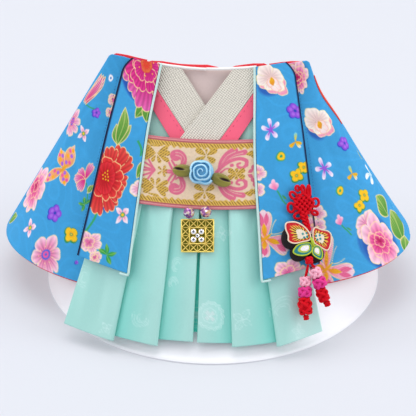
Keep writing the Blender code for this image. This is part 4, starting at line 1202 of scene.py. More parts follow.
def leaf_cluster(paint, u, v, r):
    """Three leaves that rise from behind a flower."""
    petals(paint, u, v, r, ((112, 1.3, 0.28), (70, 1.5, 0.26), (90, 2.3, 0.34)), start=-0.1 * r,
        pointed=True, **leaf_shades)


def leaf_spray(paint, u, v, r):
    rows = [(degrees, 1.1, 0.24) for degrees in (100, 25, -45, 160)]
    petals(paint, u, v, r, rows, "#1E9A52", leaf_green, pointed=True, vein="#A8D070")


def half_bloom(paint, u, v, r):
    ruffled(paint, u, v, r, 4, 0.28, 0.5, "#F394BA", "#FFF0F2")
    dot(paint, u, v, 0, 0, 0.2 * r, "#F3C6A0")


def butterfly_print(paint, u, v, r):
    """A pink butterfly seen from above, its head up: long fore wings and short hind wings."""
    blush, lilac = "#F88CAC", "#EE6A96"
    for degrees, length, width in ((218, 0.72, 0.3), (322, 0.72, 0.3), (142, 1.1, 0.37), (38, 1.1, 0.37)):
        petal(paint, u, v, degrees, length * r, width * r, blush, "#FBE0EA", line_gold, frill=0.05)
        for aside, long, half, start in ((7, 0.5, 0.1, 0.42), (-8, 0.45, 0.09, 0.46)):
            petal(paint, u, v, degrees + aside, long * length * r, half * r, lilac, lilac,
                start=start * length * r, pointed=True)
        petal(paint, u, v, degrees, 0.5 * length * r, 0.09 * r, orange, yellow, start=0.06 * r, pointed=True)
    petal(paint, u, v, 90, 0.7 * r, 0.06 * r, orange, yellow, start=-0.35 * r, pointed=True)
    for side in (-1, 1):
        stroke(paint, u, v, ((0, 0.3 * r), (side * 0.26 * r, 0.8 * r)), -side * 0.05 * r, 0.3, line_gold)


def spotted_butterfly(paint, u, v, r):
    """An orange butterfly with its wings nearly closed, spotted in purple and magenta."""
    # Columns: place along the wing over its length, place aside over r
    spots = ((0.25, 0.04), (0.36, -0.09), (0.48, 0.1), (0.6, -0.06), (0.7, 0.09), (0.8, -0.03))
    for degrees, length, width in ((310, 0.62, 0.24), (229, 1.25, 0.2), (128, 0.72, 0.25), (75, 1.05, 0.25)):
        petal(paint, u, v, degrees, length * r, width * r, "#F49A50", "#FBC9B4", line_gold, pointed=True,
            frill=0.06, streaks=0.1)
        turn = radians(degrees)
        for index, (out, off) in enumerate(spots):
            x, y = out * length * r, off * r
            dot(paint, u, v, x * cos(turn) - y * sin(turn), x * sin(turn) + y * cos(turn), 0.07 * r,
                ("#A865D6", "#EC5C98", "#F6A81E")[index % 3])
    petal(paint, u, v, 60, 0.5 * r, 0.06 * r, orange, yellow, start=-0.25 * r, pointed=True)


def pink_peony(paint, u, v, r):
    """A pink peony in uneven layers, pale at the tips, with a magenta heart."""
    shadow(paint, u, v, r, 0.45)
    blossom(paint, u, v, r, (0, 0, 1, 7, 0.3, 1, "#F47CAA", "#FFDCE8"),
        (0.07, -0.06, 0.74, 6, 0.26, 2.2, "#EA488C", "#FAB4D0"),
        (-0.05, -0.02, 0.5, 5, 0.26, 0.4, "#DC2478", "#F57CAE"),
        (0, 0.04, 0.27, 4, 0.3, 3, "#C8185E", "#EE6CA2"))


def tall_peony(paint, u, v, r):
    """A peony in profile: a small upright bloom over a broad one."""
    shadow(paint, 1.2 * u, v, r, 0.4)
    ruffled(paint, u + 0.2 * r, v - 0.55 * r, 0.42 * r, 5, 0.24, 0.2, "#F08CB6", "#FDE2EA")
    pink_peony(paint, 1.22 * u, v + 0.14 * r, 0.86 * r)


def green_stem(paint, u, v, r):
    stroke(paint, u, v, ((0, r), (0, -r)), 0.14 * r, 1.05, stem_green)


# Columns: motif, place across in millimetres from the middle, place down the slope from the
# neck, size from the motif's middle to its edge, turn in degrees
front_motifs = {
    "left": (
        (leaf, -27.4, 19.4, 6.6, -24), (leaf, -24.1, 19.7, 6.9, -6), (peony, -26.6, 0.9, 19, 0),
        (leaf_cluster, -37.8, 38.4, 7.6, 0), (green_stem, -49.8, 76.6, 7.6, -14),
        (red_peony, -42.6, 54, 16, 0), (green_stem, -28, 38.5, 3.6, 20), (leaf, -27.2, 47.7, 4, -12),
        (half_bloom, -26.4, 56.8, 4.8, 30), (four_petals, -34.6, 69.7, 4.9, 20),
        (carnation, -48.6, 84.4, 5.4, 0), (carnation, -46, 90.6, 2.9, 30), (leaf_spray, -41, 88.4, 4.4, 0),
    ),
    "right": (
        (cream_flower, 28.8, 5.8, 6.6, 0), (purple_daisy, 39.6, 20.6, 3.8, 0),
        (star_flower, 29.3, 27.8, 5, 10), (yellow_sprig, 40.6, 34.3, 4.2, 10), (ring, 34.5, 40.5, 2.1, 0),
        (yellow_blossom, 44.4, 46.4, 2.9, 0), (yellow_blossom, 41.6, 49.6, 3.1, 30),
        (half_bloom, 24.4, 46.7, 3.7, 0), (half_bloom, 24.7, 54.6, 3.4, 50), (bud, 32.8, 55.6, 3.6, 8),
        (half_bloom, 52, 66.8, 4.8, 20), (half_bloom, 49.6, 72.8, 4.4, 60),
        (butterfly_print, 27.8, 76.3, 12, -60), (carnation, 39.7, 92.6, 6.6, 0),
        (carnation, 46.4, 93.8, 3.2, 40),
    ),
}
# Columns: motif, angle round the sleeve from the front, height, size, turn
sleeve_motifs = {
    "left": (
        (long_bud, 73.6, 97.1, 8.6, -22), (white_ring, 61.2, 103.5, 1.8, 0), (carnation, 49.2, 95, 3.2, 0),
        (carnation, 47.8, 90, 2.8, 30), (ring_flower, 79, 80.6, 6.4, 0), (purple_daisy, 58.4, 88, 2.5, 0),
        (four_petals, 61.2, 78.2, 4.2, 10), (spotted_butterfly, 63.5, 61.6, 12.6, 0),
        (bell, 48.6, 61, 6.8, 0),
        (pink_peony, 79, 45.8, 11.2, 0), (purple_daisy, 55, 43.3, 4.3, 0), (four_petals, 64.9, 32.4, 5.2, 0),
        (yellow_blossom, 43.4, 37.8, 3.9, 20), (leaf, 85.3, 27, 5.6, -40), (ring_flower, 49.9, 26.1, 9.4, 0),
        (leaf_spray, 42.4, 51.4, 3.4, 90), (leaf, 42.6, 57.8, 2.6, -30), (purple_daisy, 37.6, 28, 1, 0),
    ),
    "right": (
        (tall_peony, 58.4, 107.4, 8.2, 0), (cream_flower, 61, 87, 6.7, 0), (purple_daisy, 74.4, 75.9, 3.7, 0),
        (star_flower, 51.6, 68.3, 5.2, 10), (yellow_sprig, 67.4, 63.4, 4.4, 10), (ring, 55.9, 58.2, 2.1, 0),
        (yellow_blossom, 68.4, 53, 3.3, 0), (yellow_blossom, 62.6, 49.8, 3, 30), (bud, 49.4, 45.2, 3.4, 8),
        (white_flower, 89, 57.2, 5, 0), (half_bloom, 41.2, 51.8, 3.9, 0), (half_bloom, 39.6, 46.8, 3.8, 50),
        (broad_leaf, 79.6, 44, 6, 8), (broad_leaf, 82.4, 33, 7.8, -10), (broad_leaf, 79, 25.4, 4.4, -50),
        (tall_peony, 64.3, 34, 15.2, 0), (butterfly_print, 38.2, 30.4, 13, -60), (leaf, 90.8, 66.6, 3.6, 0),
    ),
}
# The back repeats the same cloth in rows: motif, steps across and down from the row's start
repeat_motifs = (
    (leaf, 10, 9, 6), (pink_peony, 0, 0, 12), (cream_flower, 25, -4, 7.4), (star_flower, 13, -18, 5.2),
    (purple_daisy, 27, -19, 3.8), (yellow_blossom, 22, -29, 3.3), (ring, 36, -9, 2.1), (bud, 3, -25, 3.6),
    (four_petals, 38, -24, 4.6), (spotted_butterfly, 36, 12, 8), (carnation, -9, -21, 4.4),
)


def swirled_blue(grid):
    """The ground of the print: blue, with faint lighter swirls about 6 mm apart."""
    u, v = np.moveaxis(lengths(grid), -1, 0)
    field = (np.sin(u / 6.1 + 1.4 * np.sin(v / 8.3)) + np.sin(v / 5.2 + 1.2 * np.sin(u / 7.7))
        + np.sin((u + v) / 9.4))
    swirl = inside(np.abs(np.sin(2.4 * field)) - 0.3, 0.25)
    ground = np.zeros((*u.shape, 4))
    ground[..., :3] = print_blue * (1 + 0.035 * swirl[..., None])
    return ground


# Screen-printed plain cotton: flat matt dyes, with outlines in metallic ink that glint
printed_cotton, tree, shader = finish("printed_cotton", "#3A9EDA", 0.75, Specular_IOR_Level=0.2)
weave(tree, shader, 0.45, 0.25, painted(tree, shader, 0.72, 0.4))
blue_thread, _, _ = finish("blue_polyester_thread", "#1F6CAE", 0.6)
# The lining cotton where it is rolled outwards, in a paler orange red
lining_fold, tree, shader = finish("paler_rolled_lining_cotton", "#EE4A34", 0.62)
weave(tree, shader, 0.5, 0.25, "#EE4A34")
for side, name in ((-1, "left"), (1, "right")):
    grid = sleeve_grid(side, 290, 186, 0)
    colours = paint_cloth(grid, sleeve_motifs[name], lambda degrees, z: cape(side * radians(degrees), z),
        swirled_blue(grid))
    place_on(cloth("sleeve_%s_cotton" % name, grid, printed_cotton, colours),
        "blue_print_cotton", "sleeve_" + name)
    share = np.linspace(0, 1, 60)
    dip = 0.4 * share ** 6 if side < 0 else 0.8 * np.clip(share / 0.5 - 0.4, 0, 1)
    lining_top = 0.45 - 0.8 * np.maximum(0, 1 - share / 0.4) - dip
    grid = sleeve_grid(side, 90, 60, lining_lift, lining_top, hem_peek=1.1, tuck=0)
    lining = place_on(cloth("sleeve_lining_%s_cotton" % name, grid, red_cotton), "red_lining",
        "sleeve_lining_" + name)
    if side > 0:
        # The lining is rolled outwards along the upper part of the right side seam
        height = np.linspace(106, 82, 40)
        roll = 0.62 * np.sin(np.linspace(0.25, pi - 0.25, 40)) ** 0.6
        rolled = [tube_shape(cape(pi / 2, height, 0.25), roll)]
        place_on(joined("sleeve_lining_right_roll", rolled, lining_fold), "red_lining")
    # Prick stitches hold the front's fold to the sleeve
    fold_x, fold_z = np.moveaxis(front_edges(name, 90)[1][10:-4], -1, 0)
    turn = np.arcsin((fold_x + side * 1.9) / half_width_at(fold_z))
    sewn = place_on(stitches("sleeve_stitches_" + name, [cape(turn, fold_z, 0.04)], blue_thread,
        gap=0.0014, half_length=0.0003, radius=0.00014), "blue_print_cotton")
grid = back_grid(150, 300, 0)
row_starts = ((-78, 84), (-34, 92), (10, 84), (54, 92), (-72, 42), (-26, 50), (18, 42), (60, 50))
back_motifs = [(draw, x + start_x, z + start_z, size, 0) for start_x, start_z in row_starts
    for draw, x, z, size in repeat_motifs]
back_motifs = [row for row in back_motifs if abs(row[1]) < 0.96 * half_width_at(row[2])]
colours = paint_cloth(grid, back_motifs, lambda x, z: cape(pi - asin(x / half_width_at(z)), z),
    swirled_blue(grid))
back = place_on(cloth("back_cotton", grid, printed_cotton, colours), "blue_print_cotton", "back")
grid = back_grid(70, 130, lining_lift, lining_peek, lining_peek)
back_lining = place_on(cloth("back_lining_cotton", grid, red_cotton), "red_lining", "back_lining")


# A bias strip of satin sewn round a thin cord: smooth, round and pale
piping_satin, tree, shader = finish("pale_mint_piping", "#DCEFE8", 0.4)
weave(tree, shader, 0.6, 0.2, "#C4E2DA", shade=0.08, twill=0.8)
for name, (side, *_) in jacket_fronts.items():
    inner, outer = front_edges(name, 310)
    grid = between(*left_to_right(side, inner, outer), 88)
    grid = on_front(grid, front_lift(grid[..., 0], grid[..., 1]))
    colours = paint_cloth(grid, front_motifs[name], down_front, swirled_blue(grid))
    # Painted shadow: a dark navy line along the fold at the outer edge, where the front stands over the
    # sleeve
    fold = lengths(grid)[..., 0] * -side
    fold = (fold - fold.min(1, keepdims=True)).reshape(-1)
    flat_colours = colours.reshape(-1, 4)
    cover(flat_colours, "#0E1638", inside(fold - (0.95 if side < 0 else 0.7), 0.35))
    place_on(cloth("front_%s_cotton" % name, grid, printed_cotton, colours),
        "blue_print_cotton", "front_" + name)
    clear = 0.8
    path = [front(x - side * clear, z, front_lift(x, z) - 0.5) for x, z in inner[::4]]
    corner_x, corner_z = inner[-1]
    for along, rise in ((-0.5, -0.1), (0.4, 0), (1.6, 0.1), (3, 0.25)):
        path.append(front(corner_x + side * along, corner_z - clear + rise,
            front_lift(corner_x, corner_z) - 0.5))
    piping = place_on(joined("front_piping_%s_satin" % name, [tube_shape(path, 0.55)], piping_satin),
        "mint_satin", "front_piping_" + name)


# The waist ornament: a wound ribbon rose between two loops of olive ribbon, two violet glass
# beads, and a square gold filigree plate with five rhinestones. All sewn on by hand.
def put(place, x, y, height):
    """Points given from a place: across, up and outwards."""
    origin, axes = place
    x, y, height = np.broadcast_arrays(np.asarray(x, dtype=float), y, height)
    return origin + np.stack([x, y, height], -1) @ axes


def turned_place(place, degrees, across=0):
    """The same place with its axes turned anticlockwise, then moved across."""
    turn = radians(degrees)
    axes = np.array([[cos(turn), sin(turn), 0], [-sin(turn), cos(turn), 0], [0, 0, 1]]) @ place[1]
    return place[0] + across * axes[0], axes


def closed_shape(rings):
    """Points, faces and chart of a round form whose rings run from its underside to its top."""
    rings = np.asarray(rings)
    count, sides = rings.shape[:2]
    chart = np.stack(np.meshgrid(np.arange(sides) * 0.4, np.arange(count) * 0.4), -1)
    return rings.reshape(-1, 3), grid_faces(count, sides, around=True)[:, ::-1], chart.reshape(-1, 2)


# Woven-edge satin ribbon, folded and wound: bright along the folds, where a painted highlight is laid, and
# dark in the coil
rose_ribbon, tree, shader = finish("blue_satin_ribbon", "#6EBCE6", 0.36, Sheen_Weight=0.3)
weave(tree, shader, 0.4, 0.2, painted(tree, shader, 0.36, 0.36, metallic=0), shade=0.03)
seat = lift_waistband + 0.3
rose_place = front_place(0, 72.8, seat)
rose_turns, rose_corners = 2.9, 5
turn = np.linspace(0, rose_turns * tau, 420)
share = turn / turn[-1]
corner = 1.5 * np.abs(np.cos(0.5 * rose_corners * turn / 1.2 + 0.3)) - 1
spread = (0.4 + 5 * share ** 0.9) * (1 + 0.17 * share ** 1.5 * corner) + 0.2 * share * np.sin(turn)
top = 5 - 2.1 * share ** 1.5 + 0.4 * np.sin(2 * turn + 1) * share
rose_rows = []
for out, down in ((-0.35, 2.6), (-0.3, 1.2), (-0.22, 0.4), (-0.05, 0.06), (0.16, 0), (0.42, 0.14),
        (0.68, 0.5), (0.86, 1.1), (0.9, 1.9)):
    reach = spread + out * (0.35 + 0.65 * share ** 0.5)
    rose_rows.append(put(rose_place, reach * np.cos(turn), reach * np.sin(turn), np.maximum(top - down, 0.1)))
wound = np.array(rose_rows)
count = len(wound)
chart = np.stack(np.meshgrid(share * 70, np.arange(count) * 0.7), -1).reshape(-1, 2)
around = round_turns(48)
pad_rings = ((0, 0), (5.1, 0), (5.5, 0.6), (5, 1.6), (3, 2.6), (0, 3.4))
pad = [put(rose_place, r * np.cos(around), r * np.sin(around), height) for r, height in pad_rings]
# Painted highlight: the folded edge on top is painted paler blue where it catches the light, and the ribbon
# is darker down in the coil
edge_light = np.exp(-((np.arange(count) - 4.5) / 2.2) ** 2)[:, None]
edge_light = edge_light * (0.75 + 0.25 * np.sin(1.7 * turn + 0.8))
rose_blue = srgb("#74BEE2")
rose_paint = np.concatenate([blend(rose_blue, "#C6ECFC", edge_light.ravel()),
    np.tile(rose_blue, (len(pad) * len(around), 1))])
rose = joined("ribbon_rose_satin", [(wound.reshape(-1, 3), grid_faces(*wound.shape[:2]), chart),
    closed_shape(pad)], rose_ribbon, rose_paint)
place_on(rose, "blue_ribbon", "ribbon_rose")

# The same ribbon dyed olive, folded to a loop: soft light on top, with painted shade towards its end by the
# rose and dark brown painted shade in its slit
olive_ribbon, tree, shader = finish("olive_satin_ribbon", "#8E933F", 0.4, Sheen_Weight=0.2)
weave(tree, shader, 0.4, 0.2, painted(tree, shader, 0.42, 0.42, metallic=0), shade=0.05)
olive, olive_painted_shade, loop_slit_painted_shade = "#8C8426", "#66601A", "#341C12"
# Columns: share of the loop's outline, height
loop_rings = ((0, 0), (0.9, 0), (0.98, 0.35), (1, 0.8), (0.96, 1.3), (0.9, 1.65), (0.82, 1.9),
    (0.74, 2.05), (0.66, 2.15), (0.58, 2.2), (0.5, 2.25), (0.42, 2.28), (0.34, 2.3), (0.26, 2.3),
    (0.18, 2.3), (0.1, 2.3), (0, 2.3))
for name, slit_side, distance, direction in (("left", -1, 8.4, 178), ("right", 1, 9.4, -20)):
    place = turned_place(rose_place, direction, distance)
    turn = round_turns(72)
    along = 4.7 * np.cos(turn)
    over = 2.9 * np.sin(turn) * (1 - 0.2 * np.cos(turn) ** 3)
    rings, paint = [], []
    for scale, height in loop_rings:
        x, y = along * scale, over * scale
        slit = np.hypot((x - 1.7) / 2.5, (y - slit_side * 0.5 - 0.1 * slit_side * x) / 0.62)
        hollow = np.clip(1.25 - slit, 0, 1) if height > 1 else np.zeros_like(x)
        fold = 0.25 * np.cos(y * 2.2) * np.clip(1 - scale, 0, 1)
        rings.append(put(place, x, y, height + fold - 1.3 * hollow))
        ring_paint = np.zeros((len(x), 4))
        # Painted shade: darker olive towards the end by the rose, dark brown in the slit
        ring_paint[:, :3] = blend(olive, olive_painted_shade, np.clip((x * -0.12) + 0.3, 0, 1))
        cover(ring_paint, loop_slit_painted_shade, inside(slit - 0.95, 0.12) * (height > 1))
        paint.append(ring_paint)
    leaf_loop = joined("rose_leaf_%s_ribbon" % name, [closed_shape(rings)], olive_ribbon,
        np.concatenate(paint))
    place_on(leaf_loop, "olive_ribbon", "rose_leaf_" + name)

# Cut glass with a vapour-laid oxide film: every facet shines in another colour. Each facet is painted a
# random colour from dark violet to near white: the film's colours, with painted glints and dark reflections
aurora_glass, tree, shader = finish("aurora_coated_glass", "#A877BE", 0.08, IOR=1.6, Metallic=0.35)
coordinates = add(tree, "ShaderNodeTexCoord")
painted_facet_reflections = add(tree, "ShaderNodeTexVoronoi", {"Vector": coordinates.outputs["Object"], "Scale": 900})
ramp = add(tree, "ShaderNodeValToRGB", {"Fac": painted_facet_reflections.outputs["Color"]})
for place, hex_colour in ((0, "#3A1450"), (0.28, "#7E3E94"), (0.46, "#CE84B4"), (0.64, "#D0AC70"),
        (0.85, "#F2EAFA")):
    stop = ramp.color_ramp.elements[0] if place == 0 else ramp.color_ramp.elements.new(place)
    stop.position, stop.color = place, socket_colour(hex_colour)
tree.links.new(ramp.outputs["Color"], shader.inputs["Base Color"])
bead_radius, bead_rings, bead_sides = 2.55, 9, 12
for name, x, z in (("bead_left", -4.6, 57.4), ("bead_right", 2.75, 58)):
    place = front_place(x, z, seat + bead_radius)
    tilt = np.linspace(0, pi, bead_rings)[:, None]
    turn = round_turns(bead_sides) + 0.26 * (np.arange(bead_rings) % 2)[:, None]
    points = put(place, bead_radius * np.sin(tilt) * np.cos(turn), bead_radius * np.cos(tilt),
        bead_radius * np.sin(tilt) * np.sin(turn))
    faces = grid_faces(bead_rings, bead_sides, around=True)[:, ::-1]
    place_on(add_mesh(name + "_glass", points, faces, aurora_glass, smooth=False), "violet_crystal", name)

# Brass wire soldered and gilt: yellow metal with many small soft highlights
gilt_brass, tree, shader = finish("gilt_brass", "#FBE07A", 0.34, Metallic=1)
plate_place = turned_place(front_place(-0.65, 49.2, 0.3), 2.6)
# A quarter of the plate's rods, which the other quarters repeat. Columns: start, end, radius, height
plate_half, plate_middle = 7.15, 3.6
plate_rods = [(-plate_half, plate_half, plate_half, plate_half, 0.36, 0.6),
    (-plate_half, plate_middle, plate_half, plate_middle, 0.2, 0.5),
    (-plate_middle, plate_middle, plate_middle, plate_middle, 0.32, 1.05)]
for x in (-plate_half, -plate_middle, 0):
    plate_rods += [(x, plate_middle, x + plate_middle, plate_half, 0.25, 0.8),
        (x, plate_half, x + plate_middle, plate_middle, 0.25, 0.8)]
plate_rods += [(0, plate_middle, 0, plate_half, 0.2, 0.5), (0, 0, plate_middle, plate_middle, 0.3, 0.5)]
stone_places, share, rods = [], np.linspace(0, 1, 3), []
for quarter in range(4):
    for x0, y0, x1, y1, radius, height in plate_rods:
        for _ in range(quarter):
            x0, y0, x1, y1 = -y0, x0, -y1, x1
        path = put(plate_place, x0 + (x1 - x0) * share, y0 + (y1 - y0) * share, height)
        rods.append(tube_shape(path, radius, sides=6))
    x, y = 1.75 * (1, -1, -1, 1)[quarter], 1.75 * (1, 1, -1, -1)[quarter]
    stone_places.append((x, y, 1.2))
    turn = np.linspace(0, 0.995 * tau, 25)
    setting = put(plate_place, x + 1.28 * np.cos(turn), y + 1.28 * np.sin(turn), 1)
    rods.append(tube_shape(setting, 0.18, sides=6))
place_on(joined("pendant_filigree", rods, gilt_brass), "gold_filigree", "pendant")
# A dull olive brass sheet behind the wires, put there as painted shade in the openwork
shade_brass_sheet, _, _ = finish("painted_shade_brass", "#7C7A26", 0.55, Metallic=1)
x, y = plate_half * np.array(((-1, 1, 1, -1), (-1, -1, 1, 1)))
backing_rings = ((0, 0.1), (1, 0.1), (1, 0.3), (0, 0.3))
backing = [put(plate_place, x * scale, y * scale, height) for scale, height in backing_rings]
place_on(add_mesh("pendant_backing", np.array(backing), grid_faces(4, 4, around=True)[:, ::-1], shade_brass_sheet,
    smooth=False), "gold_filigree")

# Pressed glass backed with foil: white facets round a darker table, both painted reflections
rhinestone, tree, shader = finish("foiled_rhinestone", "#EDF1F6", 0.08, Metallic=0.6)
tree.links.new(painted(tree, shader, 0.08, 0.08, metallic=0.6), shader.inputs["Base Color"])
stones, stone_paint, stone_sides = [], [], 8
facet_painted_glint, table_painted_reflection = srgb("#F6F8FC"), srgb("#74767E")
# Columns: share of the stone's radius, height, turn
stone_rings = ((0, 0.9, 0), (1, 0.95, 0), (0.98, 1.3, 0), (0.5, 1.7, 0.39), (0.44, 1.72, 0.39),
    (0, 1.74, 0.39))
for x, y, radius in (*stone_places, (0, 0, 0.95)):
    turn = round_turns(stone_sides)
    stones.append(closed_shape([put(plate_place, x + radius * scale * np.cos(turn + shift),
        y + radius * scale * np.sin(turn + shift), height) for scale, height, shift in stone_rings]))
    stone_paint.append(np.repeat([facet_painted_glint] * 4 + [table_painted_reflection] * 2, stone_sides, axis=0))
stone_piece = joined("pendant_rhinestones", stones, rhinestone, np.concatenate(stone_paint))
stone_piece.data.polygons.foreach_set("use_smooth", np.zeros(len(stone_piece.data.polygons), dtype=bool))
place_on(stone_piece, "gold_filigree")


# The charm on the right front: a red cord knot, an embroidered butterfly and two tails of
# small cord knots. The knot and butterfly are sewn on, and the tails hang from their cords.
def cord_finish(name, hex_colour):
    """Twisted rayon cord: a soft gleam, with plies that wind round it 0.7 mm apart."""
    made, tree, shader = finish(name, hex_colour, 0.6, Specular_IOR_Level=0.15)
    weave(tree, shader, 0.9, 0.6, hex_colour, shade=0.12, twill=0.7)
    return made


red_cord, pink_cord = cord_finish("red_rayon_cord", "#D40018"), cord_finish("pink_rayon_cord", "#F8B2C6")
magenta_cord = cord_finish("magenta_rayon_cord", "#E23A8C")
charm_seat = 2.9
knot_place = front_place(44.8, 59, charm_seat)
knot_cord = 0.62


def cord_at(xs, ys, heights, radius=knot_cord):
    return tube_shape(put(knot_place, xs, ys, heights), radius, sides=10)


knot_parts = []
turn = round_turns(40)
core_rings = ((0, 0), (0.9, 0), (1, 0.6), (0.8, 1), (0, 1.1))
core = [put(knot_place, 3.1 * scale * np.cos(turn), 3.8 * scale * np.sin(turn), height)
    for scale, height in core_rings]
knot_parts.append(closed_shape(core))
# The woven core: slanted cords that pass over and under each other
for direction in (1, -1):
    for index in range(-2, 3):
        middle = index * 1.62
        reach = 4.3 * sqrt(1 - (middle / 5.2) ** 2)
        along = np.linspace(-reach, reach, 33)
        xs = (along * direction + middle) / sqrt(2)
        ys = (along - middle * direction) / sqrt(2) * 1.1
        wave = np.cos(pi * along / 1.62 + (0 if direction > 0 else pi) + pi * index)
        fall_off = 1 - (np.abs(along) / (reach + 0.3)) ** 4
        knot_parts.append(cord_at(xs, ys, 0.9 + 0.9 * fall_off + 0.5 * wave * fall_off))
# Columns: middle across and up, half width and half height of the loop, its turn in degrees, lift
knot_loops = ((-6, -0.8, 1.5, 2, 0, 0.9), (-4.2, 4.4, 1.2, 1.9, 40, 1), (-3.2, -4.8, 1.9, 1.4, 10, 1),
    (5.6, 0, 1.5, 1.8, 0, 0.9), (4.5, -4.5, 1.5, 0.8, -30, 1), (3, 5.4, 0.6, 2.5, -4, 1.6),
    (-2, 7.3, 0.8, 1.1, 10, 1.4), (0.4, 6.4, 0.7, 1.9, 8, 2))
turn = np.linspace(0, tau, 37)
for x, y, half_width, half_height, degrees, rise in knot_loops:
    c, d = cos(radians(degrees)), sin(radians(degrees))
    a, b = half_width * np.cos(turn), half_height * np.sin(turn)
    knot_parts.append(cord_at(x + a * c - b * d, y + a * d + b * c, rise + 0.2 * np.sin(turn)))
# The plait that runs from the knot down to the butterfly, narrower towards its foot
along = np.linspace(0, 1, 60)
for phase in (0, tau / 3, 2 * tau / 3):
    swing = along * 1.5 * tau + phase
    knot_parts.append(cord_at(-0.9 + along + (1.3 - 0.6 * along) * np.cos(swing), -3.9 - 8 * along,
        1.6 + 0.65 * np.sin(2 * swing) + 0.8 * along, 0.64))
place_on(joined("charm_knot_cord", knot_parts, red_cord), "red_cord", "charm_knot")

# The butterfly: a thick dark felt back with four embroidered wings couched round in cord
# Pressed wool felt: nearly black and quite matt, with a fine fuzz
felt, tree, shader = finish("dark_wool_felt", "#170D10", 0.95)
fine_grain(tree, shader, 1500, 4, 0.6, 0.0003)
# Mercerised floss in satin stitch: a soft gleam, with the threads side by side
floss, tree, shader = finish("embroidery_floss", "#C81E28", 0.45, Specular_IOR_Level=0.3)
weave(tree, shader, 0.6, 0.5, painted(tree, shader, 0.45, 0.3), shade=0.08, twill=0.4)
butterfly_place = front_place(48, 44.9, charm_seat)


def bumped_outline(core, bumps, count, roundness):
    """An outline round a core, with a rounded bump for each wing."""
    turn = np.linspace(0, 360, count, endpoint=False)
    reach = np.full(count, float(core))
    for direction, out, half in bumps:
        off = np.abs((turn - direction + 180) % 360 - 180) / half
        bump = core + (out - core) * np.maximum(0, 1 - off ** 2) ** roundness
        reach = np.maximum(reach, np.where(off < 1, bump, core))
    around = np.radians(turn)
    return reach * np.cos(around), reach * np.sin(around)


wings = ((151, 12.9, 44), (2, 9.6, 36), (216, 10.2, 34), (290, 9.8, 32))
x, y = bumped_outline(3.2, wings, 180, 0.4)
back_steps = ((0, -1.3, -1.2, 0), (0.9, -1.3, -1.2, 0), (0.96, -1.2, -1.1, 0.5), (0.98, -1.1, -1, 1),
    (1, -0.6, -0.6, 2.4), (0.99, -0.2, -0.2, 3.2), (0.93, 0, 0, 3.5), (0.5, 0, 0, 3.6), (0, 0, 0, 3.6))
back_rings = [put(butterfly_place, x * scale + across, y * scale + up, height)
    for scale, across, up, height in back_steps]
felt_back = joined("butterfly_felt", [closed_shape(back_rings)], felt)
place_on(felt_back, "embroidered_pad", "charm_butterfly")


wing_cream, wing_red, wing_lime = map(srgb, ("#F3E3CB", "#CC0A1E", "#B9CB45"))
wing_teal, wing_gold, wing_black = map(srgb, ("#14868C", "#EBC24A", "#140A0A"))
# Each wing: its corners, the middle of its heart, whether it is an upper wing
butterfly_wings = (
    (((-10.4, 9.4), (-11, 7), (-10.3, 4), (-10.4, 1.5), (-7.8, 0.1), (-4, 0.3), (-0.7, 0.7),
        (-0.3, 3.2), (-2.3, 6.6), (-5.2, 8.9), (-7.8, 9.6)), (-2.7, 2.9), True),
    (((1, 1.8), (1.2, -0.8), (3, -2.6), (6, -4.9), (7.4, -4.6), (8.8, -2), (9.4, 1.4), (8.2, 3.2),
        (5.2, 4.4), (2.8, 5.7), (1.6, 4.6)), (3.2, 1.1), True),
    (((-0.6, -1), (-4.6, -0.5), (-7.2, -1.3), (-9, -3.4), (-8, -4.8), (-5.4, -5.7), (-2.6, -5.6),
        (-0.4, -4)), (-2.9, -2.5), False),
    (((0.2, -3.2), (-0.3, -5.6), (1.4, -7.6), (3.4, -8.4), (4.2, -6), (3.6, -3.2), (1.8, -2.3)),
        (1.7, -4.2), False),
)
rims = {True: [], False: []}
wing_shapes, wing_paint = [], []
for corners, heart, upper in butterfly_wings:
    outline = through(corners, 96, closed=True)
    heart = np.array(heart)
    rings, layers = [], np.concatenate([[0, 1, 1], np.linspace(0.98, 0, 30)])
    for index, scale in enumerate(layers):
        flat = heart + (outline - heart) * scale
        height = 3 if index < 2 else 4 + 0.45 * (1 - scale ** 3)
        rings.append(put(butterfly_place, *flat.T, height))
        paint = np.zeros((len(flat), 4))
        paint[:, :3] = white if scale < 0.46 else wing_lime if scale < 0.66 else wing_teal
        if upper:
            stripe = (np.arange(len(flat)) // 3) % 2 == 0
            ragged = 0.62 + 0.12 * stripe + 0.06 * np.cos(np.arange(len(flat)) * 1.9)
            rays = np.where(stripe[:, None], wing_gold, wing_black)
            paint[:, :3] = np.where((scale < ragged)[:, None], rays, wing_red)
            paint[:, 3] = 0.6 * stripe * (scale < ragged)
            if scale < 0.45:
                paint[:] = (*wing_cream, 0)
            for dx, dy in ((-0.9, 0.8), (0.9, 0.9), (-0.5, -0.9), (0.9, -0.7)):
                dot(paint, *flat.T, heart[0] + dx, heart[1] + dy, 0.48, wing_teal)
        wing_paint.append(paint)
    wing_shapes.append(closed_shape(rings))
    looped = np.concatenate([outline, outline[:2]])
    rims[upper].append(tube_shape(put(butterfly_place, *looped.T, 4.1), 0.32, sides=8))
embroidered = place_on(joined("butterfly_wings", wing_shapes, floss, np.concatenate(wing_paint)),
    "embroidered_pad")
cream_cord = cord_finish("cream_couched_cord", "#F0D9BE")
lime_cord = cord_finish("lime_couched_cord", "#B4C83C")
place_on(joined("butterfly_upper_rims", rims[True], cream_cord), "embroidered_pad")
along = np.linspace(0, 1, 12)
rims[False].append(tube_shape(put(butterfly_place, -0.1 + 0.8 * along, 1.6 - 4.2 * along,
    4.3 + 0.4 * np.sin(pi * along)), 0.35 + 0.35 * np.sin(pi * along), 12))
place_on(joined("butterfly_lower_rims", rims[False], lime_cord), "embroidered_pad")


